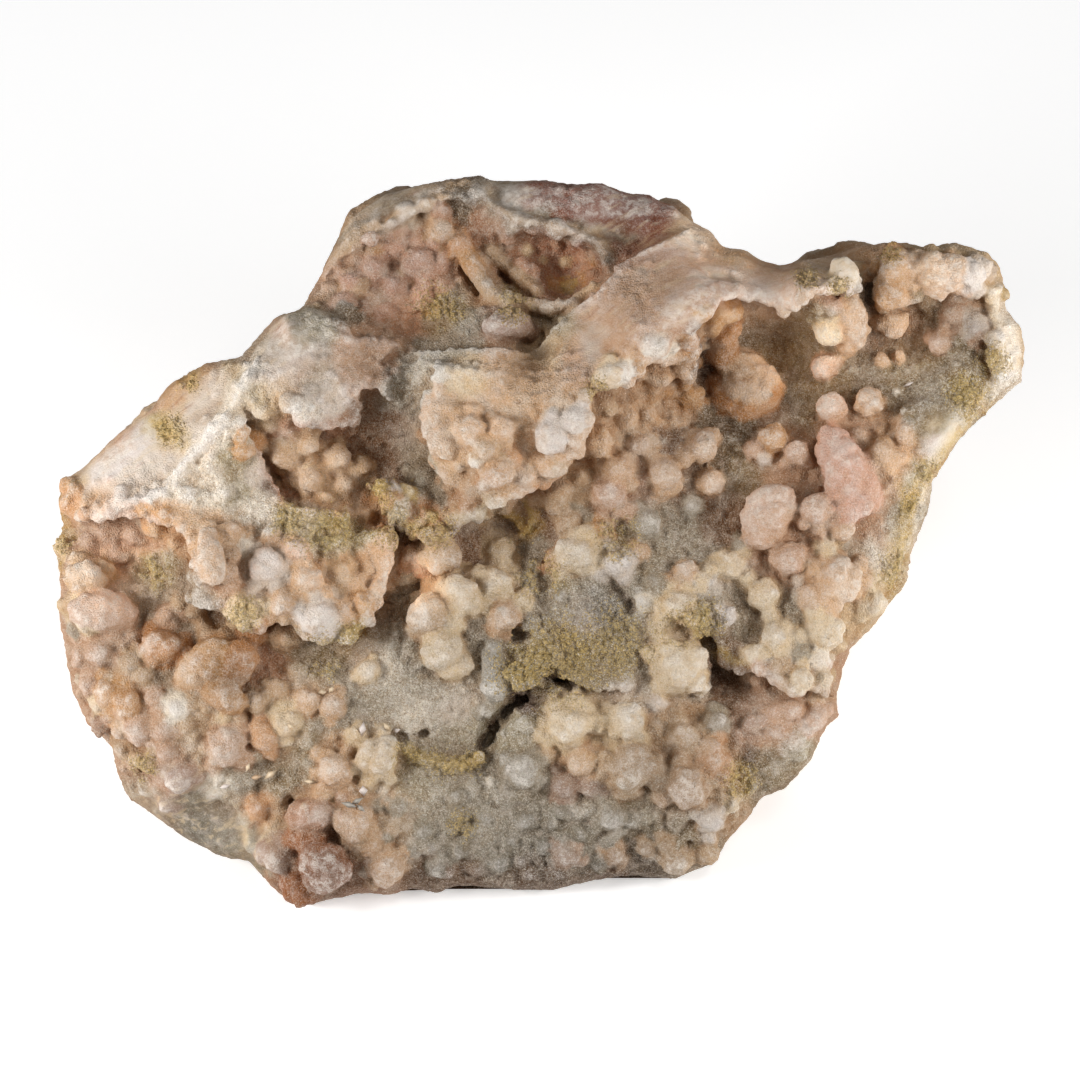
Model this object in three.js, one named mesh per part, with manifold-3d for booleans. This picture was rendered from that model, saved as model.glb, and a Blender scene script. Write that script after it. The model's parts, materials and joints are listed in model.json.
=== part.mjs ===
// Sulfur specimen: one loose piece of banded matrix whose face carries a lumpy, drusy crust
// with sulfur dusted along its ledges. It is one natural solid, so it is one mesh.
//
// Millimetres, +Z up. The origin lies on the flat underside, under the middle of the piece.
//
// The crusted face has a frame of its own: a runs to the right, b up the face and c out of it.
// c leans FACE_LEAN degrees up from the ground towards -Y, and toWorld turns (a, b, c) into
// (x, y, z). The ground of the face is a height c over (a, b): smooth heights, sharp ledges
// that drop off on one side, raised ribs and open clefts. Round lumps grow out of it.

import * as THREE from 'three';
import { mergeVertices } from 'three/addons/utils/BufferGeometryUtils.js';
import Module from 'manifold-3d';

// Driving dimensions.
const FACE_LEAN = THREE.MathUtils.degToRad( 50 );
const FACE_CENTRE = { a: 0, b: 55 };
const REST_SETBACK = 45; // from the face frame's zero to the origin, along Y
const BACK_PLANE = 47; // y of the broken back
const BODY_DEPTH = 88; // how far the sides run back behind the rim before the cuts
const SIDE_TAPER = 0.14;
const RIM_DROP = 5; // how far the face rolls back at its rim
const RIM_START = 0.88; // share of the way out to the rim where the roll begins
const LEDGE_BLUR = 1.1; // width of a ledge's drop
const END_TAPER = 0.14; // share of a ledge's length over which each end dies away
const CORNER_TIE = 1e-6; // at a path's corner the segment the point lies squarer to wins
const FULLNESS = 2 / 3; // sides and back bulge more than a ball, whose fullness is 1
const LUMP_RISE = 0.2; // a lump's centre stands this share of its radius above the ground
const FINE_LUMP = 3.6; // lumps of at least this radius are rounder

const RAY_SLACK = 1e-9; // so that no ray slips between two sides of the rim

// Mesh fineness.
const BODY_DETAIL = 10;
const FACE_CAP = THREE.MathUtils.degToRad( 122 ); // polar angle that the face takes on the ball
const HEIGHT_SOFTNESS = 3;

// Rim of the face, counterclockwise from the right.
const RIM = [
	[ 75.2, 86 ], [ 74.6, 90 ], [ 72.2, 92.4 ], [ 72.3, 95 ], [ 71.4, 99 ], [ 69.6, 101.2 ],
	[ 64.5, 102.7 ], [ 59.5, 102 ], [ 56, 102.8 ], [ 50, 102.5 ], [ 45, 100.7 ], [ 41, 100 ],
	[ 37.5, 99 ], [ 34.4, 99.9 ], [ 31.5, 101.7 ], [ 28.4, 102.1 ], [ 26, 105 ], [ 23.4, 106.2 ],
	[ 21, 108.3 ], [ 18.4, 109.2 ], [ 17.2, 110.3 ], [ 13.5, 110.5 ], [ 9, 112.2 ], [ 4.5, 111.9 ],
	[ 1, 112.5 ], [ - 7.5, 112.4 ], [ - 9.5, 113.3 ], [ - 17, 112.2 ], [ - 24.5, 110.2 ],
	[ - 29.5, 106.6 ], [ - 32, 102.5 ], [ - 33.6, 98.5 ], [ - 37.2, 92.3 ], [ - 41, 91.1 ],
	[ - 43.2, 88.6 ], [ - 46.3, 85 ], [ - 52, 84 ], [ - 57.5, 80.9 ], [ - 60.5, 76.8 ],
	[ - 66, 72.6 ], [ - 71, 67.8 ], [ - 74.6, 65.6 ], [ - 75, 62 ], [ - 74.2, 59 ], [ - 75.3, 55.5 ],
	[ - 74.6, 51 ], [ - 74.2, 48.6 ], [ - 74.5, 45 ], [ - 73.6, 39 ], [ - 72.6, 33 ], [ - 70.2, 28 ],
	[ - 68, 26 ], [ - 66.6, 24.4 ], [ - 65.5, 20 ], [ - 64.4, 17 ], [ - 59.5, 13.4 ], [ - 55, 10.2 ],
	[ - 49, 7.3 ], [ - 45, 6.7 ], [ - 41.8, 3 ], [ - 39.8, 1.3 ], [ - 36, - 0.1 ], [ - 32.8, 0.9 ],
	[ - 28, 1.8 ], [ - 23, 1.6 ], [ - 20, 2.6 ], [ - 16, 2 ], [ - 12.6, 3 ], [ - 3, 2.3 ], [ 2, 2.3 ],
	[ 9, 4 ], [ 15, 4.5 ], [ 21, 3.9 ], [ 24.1, 5.4 ], [ 27, 6.2 ], [ 28.3, 8.6 ], [ 30.2, 11.2 ],
	[ 32.3, 13.2 ], [ 34.3, 16.6 ], [ 38, 17.9 ], [ 42, 22.4 ], [ 44.3, 27.6 ], [ 46.4, 29.3 ],
	[ 45.9, 32 ], [ 47.2, 36.7 ], [ 48.3, 39.7 ], [ 52, 43.3 ], [ 55, 47.6 ], [ 57, 50 ],
	[ 57.6, 54.5 ], [ 60.2, 61 ], [ 61, 65.6 ], [ 65, 72.2 ], [ 70, 77 ], [ 74.8, 81.3 ],
];

// Heights [ a, b, c ] of the ground between the lumps.
const HEIGHTS = [
	// left lobe and its shaded pocket
	[ - 71, 62, 4 ], [ - 71, 50, 6 ], [ - 69, 45, 8 ], [ - 70, 36, 5 ], [ - 63, 53, 1 ],
	[ - 58, 53, 6 ], [ - 66, 32, 6 ], [ - 58, 36, 8 ], [ - 64, 23, 4 ], [ - 57, 25, 8 ],
	[ - 60, 18, 4 ], [ - 60, 44, 5 ],
	// shoulder, its crest and the smooth hump beside it
	[ - 68, 66, 5 ], [ - 62, 70, 6 ], [ - 57, 78, 4 ], [ - 50, 81, 6 ], [ - 56, 64, 10 ],
	[ - 51, 72, 12 ], [ - 46, 79, 13 ], [ - 43, 85, 11 ], [ - 48, 66, 10 ], [ - 45, 62, 10 ],
	[ - 37, 86, 13 ], [ - 30, 89, 10 ], [ - 39, 80, 14 ], [ - 34, 77, 13 ], [ - 27, 84, 9 ],
	// hollow left of the nose
	[ - 43, 72, 6 ], [ - 39, 70, 6 ], [ - 40, 65, 2 ], [ - 36, 65, 5 ], [ - 34, 71, 3 ],
	[ - 28, 75, 2 ], [ - 23, 71, 0 ], [ - 29, 66, 3 ], [ - 31, 62, 5 ], [ - 24, 79, 5 ],
	[ - 19, 82, 8 ], [ - 18, 68, 4 ], [ - 26, 63, 4 ],
	// nose, and the brown lobe above it
	[ - 15, 78, 13 ], [ - 14, 70, 13 ], [ - 8, 76, 17 ], [ 0, 74, 17 ], [ - 9, 64, 13 ],
	[ - 2, 68, 14 ], [ - 5, 83, 14 ], [ - 6, 89, 9 ], [ - 1, 86, 4 ], [ - 11, 88, 7 ],
	// dome with its two hollows
	[ - 18, 89, 2 ], [ - 16, 93, 2 ], [ - 27, 97, 0 ], [ - 19, 99, - 1 ], [ - 14, 105, 0 ],
	[ - 32, 95, 2 ], [ - 28, 105, 3 ], [ - 19, 110, 3 ], [ - 9, 110, 4 ], [ - 4, 103, 0 ],
	[ 3, 99, - 3 ], [ 5, 95, - 1 ], [ 1, 91, 5 ], [ - 3, 96, 0 ], [ 3, 108, 3 ], [ 13, 107, 2 ],
	[ 21, 105, 4 ], [ 12, 100, 4 ],
	// smooth ridge
	[ 6, 90, 11 ], [ 14, 95, 12 ], [ 24, 99, 11 ], [ 34, 97, 10 ], [ 44, 98, 9 ], [ 56, 101, 6 ],
	[ 68, 99, 5 ], [ 3, 82, 16 ], [ 10, 84, 17 ], [ 18, 90, 18 ], [ 25, 94, 17 ], [ 34, 94, 12 ],
	[ 43, 95, 11 ],
	// recessed basin under the ridge
	[ 24, 82, 0 ], [ 37, 88, - 1 ], [ 33, 74, 3 ], [ 42, 80, 1 ], [ 50, 86, 1 ], [ 58, 88, - 1 ],
	[ 66, 92, 2 ], [ 71, 92, 5 ], [ 73, 85, 5 ], [ 66, 83, 3 ], [ 60, 78, 5 ], [ 61, 73, 6 ],
	[ 68, 78, 3 ], [ 55, 74, 5 ], [ 52, 82, 2 ],
	// lumpy right side
	[ 14, 76, 7 ], [ 20, 73, 6 ], [ 13, 68, 7 ], [ 29, 68, 4 ], [ 24, 60, 5 ], [ 37, 63, 5 ],
	[ 46, 67, 6 ], [ 53, 66, 5 ], [ 56, 58, 4 ], [ 42, 56, 6 ], [ 32, 52, 6 ], [ 50, 51, 5 ],
	[ 43, 45, 7 ], [ 50, 45, 3 ], [ 44, 38, 6 ], [ 36, 41, 8 ], [ 29, 43, 8 ],
	// middle plate, its druse and the dark gap beside it
	[ 4, 64, 5 ], [ - 7, 57, 1 ], [ - 7, 51, 5 ], [ 5, 57, 7 ], [ 5, 51, 7 ], [ 6, 45, 8 ],
	[ 14, 46, 7 ], [ 6, 38, 9 ], [ - 4, 40, 8 ], [ 16, 37, 8 ], [ 22, 46, 9 ], [ 22, 36, 8 ],
	[ 27, 36, 2 ], [ 31, 33, 4 ], [ 37, 28, 7 ], [ 43, 29, 6 ], [ 37, 21, 5 ],
	// left ledge and what lies under it
	[ - 53, 53, 10 ], [ - 46, 55, 12 ], [ - 36, 56, 12 ], [ - 27, 56, 9 ], [ - 44, 49, 12 ],
	[ - 35, 48, 12 ], [ - 27, 50, 9 ], [ - 20, 47, 0 ], [ - 19, 55, 3 ], [ - 13, 53, 4 ],
	[ - 50, 41, 6 ], [ - 37, 40, 6 ], [ - 28, 40, 6 ], [ - 16, 42, 8 ], [ - 22, 36, 8 ],
	[ - 48, 34, 9 ], [ - 10, 36, 8 ],
	// lower slope
	[ - 36, 30, 8 ], [ - 24, 29, 8 ], [ - 11, 26, 6 ], [ - 4, 28, 9 ], [ 8, 28, 9 ], [ - 43, 24, 7 ],
	[ - 30, 22, 9 ], [ - 14, 19, 8 ], [ 2, 20, 8 ], [ 14, 23, 9 ], [ 24, 26, 7 ], [ 25, 18, 8 ],
	[ 14, 14, 7 ], [ 0, 12, 8 ], [ - 14, 10, 7 ], [ - 28, 12, 8 ], [ - 36, 7, 7 ], [ - 44, 13, 6 ],
	[ - 53, 14, 4 ], [ - 8, 5, 5 ], [ 10, 7, 5 ], [ 19, 8, 4 ], [ 28, 13, 5 ], [ 34, 19, 4 ],
];

// Ledges: the ground to the left of the way along the path is higher by drop, and falls back
// to its own height over fade.
const LEDGES = [
	{ // lip of the ridge over the basin
		drop: 7, fade: 11,
		path: [
			[ 8, 80.2 ], [ 14.4, 80.6 ], [ 15.8, 83.6 ], [ 22, 84 ], [ 24.2, 86 ],
			[ 24.4, 90 ], [ 26.5, 92.8 ], [ 30, 93.6 ], [ 32.5, 92.6 ], [ 35.5, 93 ], [ 38, 91.6 ],
			[ 42, 93.6 ], [ 48, 95 ], [ 54, 97 ],
		],
	},
	{ // right and lower edge of the nose
		drop: 6, fade: 9,
		path: [
			[ - 16, 65 ], [ - 13.5, 60.6 ], [ - 9, 60.3 ], [ - 6, 62 ], [ - 1.6, 64.4 ], [ 2.6, 67 ],
			[ 5.8, 71 ], [ 7.6, 75 ], [ 8.2, 80 ],
		],
	},
	{ // left edge of the nose
		drop: 6, fade: 8,
		path: [ [ - 15, 84 ], [ - 17.8, 80 ], [ - 18.2, 76 ], [ - 16, 71 ], [ - 15.8, 67 ], [ - 14.5, 63 ] ],
	},
	{ // sulfur-fringed shelf under the nose
		drop: 4.5, fade: 7,
		path: [
			[ - 22, 66 ], [ - 26.5, 65 ], [ - 23.6, 60 ], [ - 20.5, 57.8 ], [ - 17.6, 57.1 ],
			[ - 16, 55.2 ], [ - 13, 58.4 ], [ - 9.5, 59.3 ], [ - 4, 58.4 ], [ - 2.3, 56.1 ],
			[ - 0.4, 59 ], [ - 1.4, 62.5 ], [ 0, 66 ],
		],
	},
	{ // lower and right edge of the left ledge
		drop: 6.5, fade: 9,
		path: [
			[ - 53.5, 49 ], [ - 49.6, 47.8 ], [ - 46.5, 44.4 ], [ - 43.5, 43.6 ], [ - 41.4, 46 ],
			[ - 37.4, 44 ], [ - 35, 41.8 ], [ - 31.5, 42.4 ], [ - 29.3, 41.3 ], [ - 27, 43.6 ],
			[ - 25, 47 ], [ - 23.6, 52 ], [ - 22.8, 56 ], [ - 23.4, 61 ],
		],
	},
	{ // arch over the left pocket
		drop: 5, fade: 7,
		path: [
			[ - 72.6, 54 ], [ - 69, 57.4 ], [ - 64, 57 ], [ - 60, 56.6 ], [ - 55.6, 57.4 ],
			[ - 53, 54 ], [ - 52.8, 49.5 ],
		],
	},
	{ // overhanging lobe of the hump
		drop: 5, fade: 3.4,
		path: [
			[ - 37.2, 78.5 ], [ - 37.5, 77 ], [ - 36, 74.5 ], [ - 33, 74.5 ], [ - 28.8, 74.8 ],
			[ - 28.4, 76 ], [ - 29.8, 78 ], [ - 30.2, 80.3 ], [ - 31.5, 81 ],
		],
	},
	{ // left wall of the hollow
		drop: 4, fade: 7,
		path: [
			[ - 30, 60 ], [ - 38, 61.6 ], [ - 40.4, 64 ], [ - 41.6, 68 ], [ - 44, 72.5 ], [ - 45.6, 77 ],
		],
	},
	{ // banded shell round the left hollow of the dome
		drop: 3.5, fade: 8,
		path: [
			[ - 34.5, 96 ], [ - 30.6, 100.6 ], [ - 26, 102.8 ], [ - 20.5, 106 ], [ - 16.5, 109 ],
			[ - 12.6, 109.3 ], [ - 10, 107 ],
		],
	},
	{ // banded shell round the right hollow of the dome
		drop: 4, fade: 8,
		path: [
			[ - 7, 107 ], [ - 2, 105 ], [ 3, 104 ], [ 7.6, 102.8 ], [ 9.4, 100.6 ], [ 9.8, 98 ],
			[ 8, 95.4 ], [ 4, 93.8 ],
		],
	},
	{ // top of the hump, in front of the dome's left hollow
		drop: 4, fade: 8,
		path: [ [ - 20.6, 86 ], [ - 22, 91 ], [ - 27, 92.6 ], [ - 33, 93.4 ], [ - 39, 92 ] ],
	},
	{ // top of the nose and of the pale saddle beside it
		drop: 4, fade: 6,
		path: [
			[ 3, 87 ], [ 0.6, 85.4 ], [ - 3.4, 85.2 ], [ - 7, 86.2 ], [ - 12.6, 86.6 ], [ - 16, 85.6 ],
			[ - 20.6, 85.4 ],
		],
	},
	{ // brown lobe above the nose
		drop: 3.5, fade: 5,
		path: [ [ - 1, 87 ], [ - 4, 91 ], [ - 8, 92.5 ], [ - 12.4, 90.4 ] ],
	},
	{ // plate beside the dark gap on the right
		drop: 5, fade: 7,
		path: [
			[ 22, 43.4 ], [ 25.6, 40 ], [ 28.6, 37.4 ], [ 32, 36.9 ], [ 35.6, 36 ], [ 38, 33.6 ],
		],
	},
	{ // small pale step by the right rim
		drop: 2.5, fade: 5,
		path: [ [ 64, 79.6 ], [ 61, 79.6 ], [ 58, 78.4 ], [ 55.6, 75.6 ], [ 54.8, 72 ] ],
	},
];

// Ribs stand out of the ground and clefts cut into it, along a path.
const CREASES = [
	{ // rib inside the dome
		rise: 4, width: 1.6,
		path: [ [ - 11, 100.4 ], [ - 9.2, 98 ], [ - 7.6, 95.4 ], [ - 5, 93.4 ], [ - 1, 92.4 ] ],
	},
	{ // cleft beside that rib
		rise: - 4, width: 1.5,
		path: [ [ - 12.4, 100 ], [ - 10.6, 97 ], [ - 8.6, 94.2 ], [ - 7, 92.8 ] ],
	},
	{ // sulfur rib over the lower slope
		rise: 2, width: 1.3,
		path: [ [ - 24, 26 ], [ - 20, 23.8 ], [ - 16, 22.2 ], [ - 12, 22 ], [ - 8.6, 23.4 ] ],
	},
	{ // long crack that bends up into the middle
		rise: - 5, width: 1.5,
		path: [
			[ - 9.4, 22.8 ], [ - 8.2, 26 ], [ - 6.4, 29.6 ], [ - 4.6, 32 ], [ 0.8, 32.6 ], [ 2, 32.6 ],
		],
	},
	{ // short crack above it
		rise: - 4, width: 1.3,
		path: [ [ - 0.6, 35.2 ], [ 2, 35.8 ], [ 4.4, 34.6 ], [ 6.8, 34 ] ],
	},
	{ // dark crevice right of the left ledge
		rise: - 4, width: 1.9,
		path: [ [ - 25.6, 44 ], [ - 22, 47 ], [ - 17, 50 ], [ - 11, 52.4 ], [ - 9, 54 ] ],
	},
];

// Lumps [ a, b, radius ].
const LUMPS = [
	// left edge and pocket
	[ - 72.4, 62, 2.4 ], [ - 66.2, 58.6, 2.5 ], [ - 63.4, 58.4, 2.2 ],
	[ - 70.2, 50.4, 3.6 ], [ - 69.2, 45.4, 3.3 ], [ - 66, 46, 3.2 ], [ - 58.5, 39.5, 3.4 ],
	[ - 68, 39.3, 2.4 ], [ - 63.2, 37.8, 2.3 ], [ - 69.5, 34.5, 2.3 ], [ - 63.8, 31.6, 2.6 ],
	[ - 66.6, 33.4, 2.2 ], [ - 55.8, 30.8, 2.1 ], [ - 61.6, 27.4, 2.8 ], [ - 64.6, 27.4, 2.1 ],
	[ - 55.4, 20, 2.7 ], [ - 60.6, 22.6, 2.2 ],
	// cluster under the left ledge
	[ - 53.3, 36.4, 3.2 ], [ - 48.3, 37.4, 4.2 ], [ - 47.4, 32.6, 2.8 ], [ - 44.6, 42, 2.7 ],
	[ - 48.3, 25, 3.4 ], [ - 42.6, 27, 2.5 ], [ - 38.8, 28.3, 2.6 ], [ - 35.6, 31.6, 2.4 ],
	[ - 32, 31, 2.3 ], [ - 38.6, 42.2, 2.6 ],
	// on the left ledge
	[ - 50.9, 55, 2.2 ], [ - 50.8, 52, 2.3 ], [ - 42.6, 51.4, 3.4 ], [ - 45, 46.2, 3.1 ],
	[ - 34.5, 44.8, 3 ], [ - 39.4, 47, 2.4 ], [ - 30.8, 45.4, 2.3 ], [ - 36, 65.2, 2.4 ],
	// lower left
	[ - 31.3, 21.4, 3 ], [ - 25, 23.2, 3.7 ], [ - 35.2, 14.6, 2.8 ], [ - 36.4, 10.6, 2.6 ],
	[ - 32.8, 6.4, 4 ], [ - 37.4, 3.4, 3.1 ], [ - 40.4, 7.6, 2.8 ], [ - 28.6, 13, 3.4 ],
	[ - 23.3, 6, 3.2 ],
	// middle
	[ - 15.3, 54.2, 3.4 ], [ - 19.4, 54, 2.5 ], [ - 12.2, 48.2, 3.4 ], [ - 17.2, 45, 3.7 ],
	[ - 15, 39.8, 3.5 ], [ - 6.3, 54.4, 3.1 ], [ - 7, 49.4, 3 ], [ - 5.4, 44.8, 2.8 ],
	[ - 6.8, 33.4, 2.3 ], [ 3.3, 63.6, 3.6 ], [ 5.4, 54.4, 3.5 ], [ 2.4, 53.4, 2.2 ],
	[ 12, 53, 2.7 ], [ 4.6, 28, 3.7 ], [ 13.2, 28.4, 3.2 ], [ 6.6, 22.3, 2.7 ],
	[ 14.2, 21.6, 3.9 ], [ 10, 21.6, 2.4 ], [ - 2.2, 20.4, 3 ], [ 3.6, 18.8, 2.3 ],
	[ 11.2, 14, 2.6 ],
	// nose and below the ridge
	[ 1.4, 72.2, 2.6 ], [ 8.6, 72, 3 ], [ 10.6, 63.6, 2.9 ], [ 11.8, 67.6, 2.8 ],
	[ 15.2, 71.2, 2.2 ], [ 19.4, 67, 2.8 ], [ 25, 71, 2.8 ], [ 26.3, 65.5, 2.4 ],
	[ 18.2, 81.6, 2.4 ], [ 28.5, 90.3, 3.2 ], [ 29, 86.4, 3.5 ],
	[ 31, 82.6, 4.4 ], [ 33.4, 79.4, 4.4 ],
	// right basin
	[ 46.8, 97.6, 2.8 ], [ 55, 98.4, 3.3 ], [ 54.2, 95.4, 2.6 ], [ 60.6, 98.2, 3.4 ],
	[ 66.4, 97.6, 3 ], [ 44.8, 88.8, 2.8 ], [ 48, 91.2, 2.9 ], [ 48.6, 87.6, 2.4 ],
	[ 43.8, 83.5, 2.3 ], [ 54.6, 90.4, 2.5 ], [ 64, 91.6, 2.2 ], [ 67.8, 89, 2.3 ],
	[ 61.8, 87.2, 2.1 ], [ 45, 77, 2.7 ], [ 51, 77.8, 2.3 ],
	// lumpy right side
	[ 36.3, 72.2, 2.5 ], [ 39.7, 70, 2.3 ], [ 45.6, 71, 3.6 ], [ 47.4, 67.4, 4 ],
	[ 49.6, 63.8, 4 ], [ 35.8, 61.8, 4.2 ], [ 34.6, 57, 2.4 ], [ 42.4, 61.4, 2.8 ],
	[ 29.2, 52.8, 2.7 ], [ 38.6, 53.6, 2.7 ], [ 44.2, 55, 2.3 ], [ 45.6, 50, 3.9 ],
	[ 34.6, 48.2, 2.8 ], [ 22.6, 51.4, 2.4 ], [ 21.6, 46.6, 2.9 ], [ 53, 69.8, 2.5 ],
	[ 51.4, 46.8, 2.7 ],
	// lower right
	[ 21.4, 36.8, 4.3 ], [ 36.4, 41.6, 2.5 ], [ 43.8, 42.4, 3.4 ], [ 42.6, 38.4, 2.3 ],
	[ 34, 35, 2 ], [ 27, 28.2, 2.5 ], [ 22.2, 26, 2.6 ], [ 26.2, 23, 3 ],
	[ 22.4, 18.4, 3.5 ], [ 26.2, 13.6, 2.7 ], [ 42.4, 29.2, 2.5 ], [ 23, 7.4, 2.6 ],
	// dome
	[ - 26.6, 96.4, 2.4 ], [ - 17.2, 99.4, 2.3 ], [ - 15.4, 104.4, 2.3 ],
	[ - 12.6, 102.4, 2.2 ], [ - 5.4, 89.6, 3.4 ],
];

// Broken faces: each cut takes away what lies past a plane at `reach` from the origin.
const BREAKS = [
	{ towards: [ 0, 1, 0 ], reach: BACK_PLANE },
	{ towards: [ 0.1, 0.8, - 0.6 ], reach: 31 },
	{ towards: [ - 0.72, 0.62, - 0.3 ], reach: 57 },
	{ towards: [ 0.78, 0.5, - 0.38 ], reach: 53 },
	{ towards: [ - 0.82, - 0.1, - 0.56 ], reach: 53 },
	{ towards: [ 0.72, - 0.1, - 0.69 ], reach: 37 },
];

const FACE_OUT = new THREE.Vector3( 0, - Math.cos( FACE_LEAN ), Math.sin( FACE_LEAN ) );
const FACE_UP = new THREE.Vector3( 0, Math.sin( FACE_LEAN ), Math.cos( FACE_LEAN ) );

const clamp = THREE.MathUtils.clamp;
const lerp = THREE.MathUtils.lerp;
const smoothstep = THREE.MathUtils.smoothstep;

// Turns a point of the face frame into the part's own frame.
function toWorld( a, b, c ) {

	return new THREE.Vector3( a, - REST_SETBACK, 0 )
		.addScaledVector( FACE_UP, b )
		.addScaledVector( FACE_OUT, c );

}

// Nearest point of a path: how far it is, on which side (left is positive) and how far along.
function nearestOnPath( path, a, b ) {

	const lengths = path.slice( 1 ).map( ( [ endA, endB ], i ) => {

		const [ startA, startB ] = path[ i ];
		return Math.hypot( endA - startA, endB - startB );

	} );
	const total = lengths.reduce( ( sum, length ) => sum + length, 0 );
	let best = { score: Infinity };
	let walked = 0;
	for ( let i = 0; i < lengths.length; i ++ ) {

		const [ startA, startB ] = path[ i ];
		const alongA = ( path[ i + 1 ][ 0 ] - startA ) / lengths[ i ];
		const alongB = ( path[ i + 1 ][ 1 ] - startB ) / lengths[ i ];
		const walk = clamp( ( a - startA ) * alongA + ( b - startB ) * alongB, 0, lengths[ i ] );
		const left = alongA * ( b - startB ) - alongB * ( a - startA );
		const distance = Math.hypot( a - startA - walk * alongA, b - startB - walk * alongB );
		const score = distance - CORNER_TIE * Math.abs( left );
		if ( score < best.score ) {

			best = { score, distance, side: Math.sign( left ), along: ( walked + walk ) / total };

		}

		walked += lengths[ i ];

	}

	return best;

}

function endTaper( along ) {

	return smoothstep( along, 0, END_TAPER ) * smoothstep( 1 - along, 0, END_TAPER );

}

function ledgeHeight( ledge, a, b ) {

	const near = nearestOnPath( ledge.path, a, b );
	const behind = near.side * near.distance;
	const step = smoothstep( behind, - LEDGE_BLUR / 2, LEDGE_BLUR / 2 );
	const fade = Math.exp( - ( ( Math.max( behind, 0 ) / ledge.fade ) ** 2 ) );
	return ledge.drop * step * fade * endTaper( near.along );

}

function creaseHeight( crease, a, b ) {

	const near = nearestOnPath( crease.path, a, b );
	return crease.rise * Math.exp( - ( ( near.distance / crease.width ) ** 2 ) ) * endTaper( near.along );

}

function detailHeight( a, b ) {

	const ledges = LEDGES.reduce( ( sum, ledge ) => sum + ledgeHeight( ledge, a, b ), 0 );
	return CREASES.reduce( ( sum, crease ) => sum + creaseHeight( crease, a, b ), ledges );

}

// Solves a small dense set of linear equations, rows given as [ ...coefficients, value ].
function solve( rows ) {

	const size = rows.length;
	for ( let column = 0; column < size; column ++ ) {

		let pivot = column;
		for ( let row = column + 1; row < size; row ++ ) {

			if ( Math.abs( rows[ row ][ column ] ) > Math.abs( rows[ pivot ][ column ] ) ) pivot = row;

		}

		[ rows[ column ], rows[ pivot ] ] = [ rows[ pivot ], rows[ column ] ];
		for ( let row = 0; row < size; row ++ ) {

			if ( row === column ) continue;
			const factor = rows[ row ][ column ] / rows[ column ][ column ];
			for ( let k = column; k <= size; k ++ ) rows[ row ][ k ] -= factor * rows[ column ][ k ];

		}

	}

	return rows.map( ( row, i ) => row[ size ] / row[ i ] );

}

const spread = ( fromA, fromB, toA, toB ) => Math.hypot( fromA - toA, fromB - toB, HEIGHT_SOFTNESS );

// Weights of a smooth surface that, with the ledges and creases, passes through HEIGHTS.
const WEIGHTS = solve( HEIGHTS.map( ( [ a, b, c ] ) => [
	...HEIGHTS.map( ( knot ) => spread( a, b, knot[ 0 ], knot[ 1 ] ) ),
	c - detailHeight( a, b ),
] ) );

function groundHeight( a, b ) {

	return HEIGHTS.reduce( ( sum, [ knotA, knotB ], i ) => {

		return sum + WEIGHTS[ i ] * spread( a, b, knotA, knotB );

	}, detailHeight( a, b ) );

}

// Distance from the face's centre to its rim in the direction of an angle.
function rimReach( angle ) {

	const out = { a: Math.cos( angle ), b: Math.sin( angle ) };
	let reach = 0;
	RIM.forEach( ( [ startA, startB ], i ) => {

		const [ endA, endB ] = RIM[ ( i + 1 ) % RIM.length ];
		const sideA = endA - startA;
		const sideB = endB - startB;
		const fromA = startA - FACE_CENTRE.a;
		const fromB = startB - FACE_CENTRE.b;
		const cross = out.a * sideB - out.b * sideA;
		const share = ( fromA * out.b - fromB * out.a ) / cross;
		const distance = ( fromA * sideB - fromB * sideA ) / cross;
		const crossed = share >= - RAY_SLACK && share <= 1 + RAY_SLACK;
		if ( distance > 0 && crossed ) reach = Math.max( reach, distance );

	} );
	return reach;

}

// Height of the face: the ground, rolled back near the rim. share is the way out to the rim.
function faceHeight( a, b, share ) {

	const roll = clamp( ( share - RIM_START ) / ( 1 - RIM_START ), 0, 1 );
	return groundHeight( a, b ) - RIM_DROP * ( 1 - Math.sqrt( 1 - roll * roll ) );

}

// Point of the body for a direction of a unit ball whose pole looks out of the face.
function bodyPoint( direction ) {

	const polar = Math.acos( clamp( direction.z, - 1, 1 ) );
	const angle = Math.atan2( direction.y, direction.x );
	const reach = rimReach( angle );
	const onFace = Math.min( Math.sin( polar / 2 ) / Math.sin( FACE_CAP / 2 ), 1 );

	const turn = Math.max( polar - FACE_CAP, 0 ) / ( Math.PI - FACE_CAP ) * Math.PI / 2;
	const depth = Math.sin( turn ) ** FULLNESS;
	const narrowing = Math.max( Math.cos( turn ), 0 ) ** FULLNESS * ( 1 - SIDE_TAPER * depth );
	const share = onFace * narrowing;

	const faceA = FACE_CENTRE.a + onFace * reach * Math.cos( angle );
	const faceB = FACE_CENTRE.b + onFace * reach * Math.sin( angle );
	const c = lerp( faceHeight( faceA, faceB, onFace ), - BODY_DEPTH, depth );
	return toWorld(
		FACE_CENTRE.a + share * reach * Math.cos( angle ),
		FACE_CENTRE.b + share * reach * Math.sin( angle ),
		c,
	);

}

const wasm = await Module();
wasm.setup();

function toSolid( geometry ) {

	const bare = geometry.clone();
	bare.deleteAttribute( 'normal' );
	bare.deleteAttribute( 'uv' );
	const merged = mergeVertices( bare );
	return new wasm.Manifold( new wasm.Mesh( {
		numProp: 3,
		vertProperties: merged.attributes.position.array,
		triVerts: Uint32Array.from( merged.index.array ),
	} ) );

}

function toGeometry( solid ) {

	const { vertProperties, triVerts } = solid.getMesh();
	const geometry = new THREE.BufferGeometry();
	geometry.setAttribute( 'position', new THREE.BufferAttribute( vertProperties, 3 ) );
	geometry.setIndex( new THREE.BufferAttribute( triVerts, 1 ) );
	geometry.computeVertexNormals();
	return geometry;

}

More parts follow.
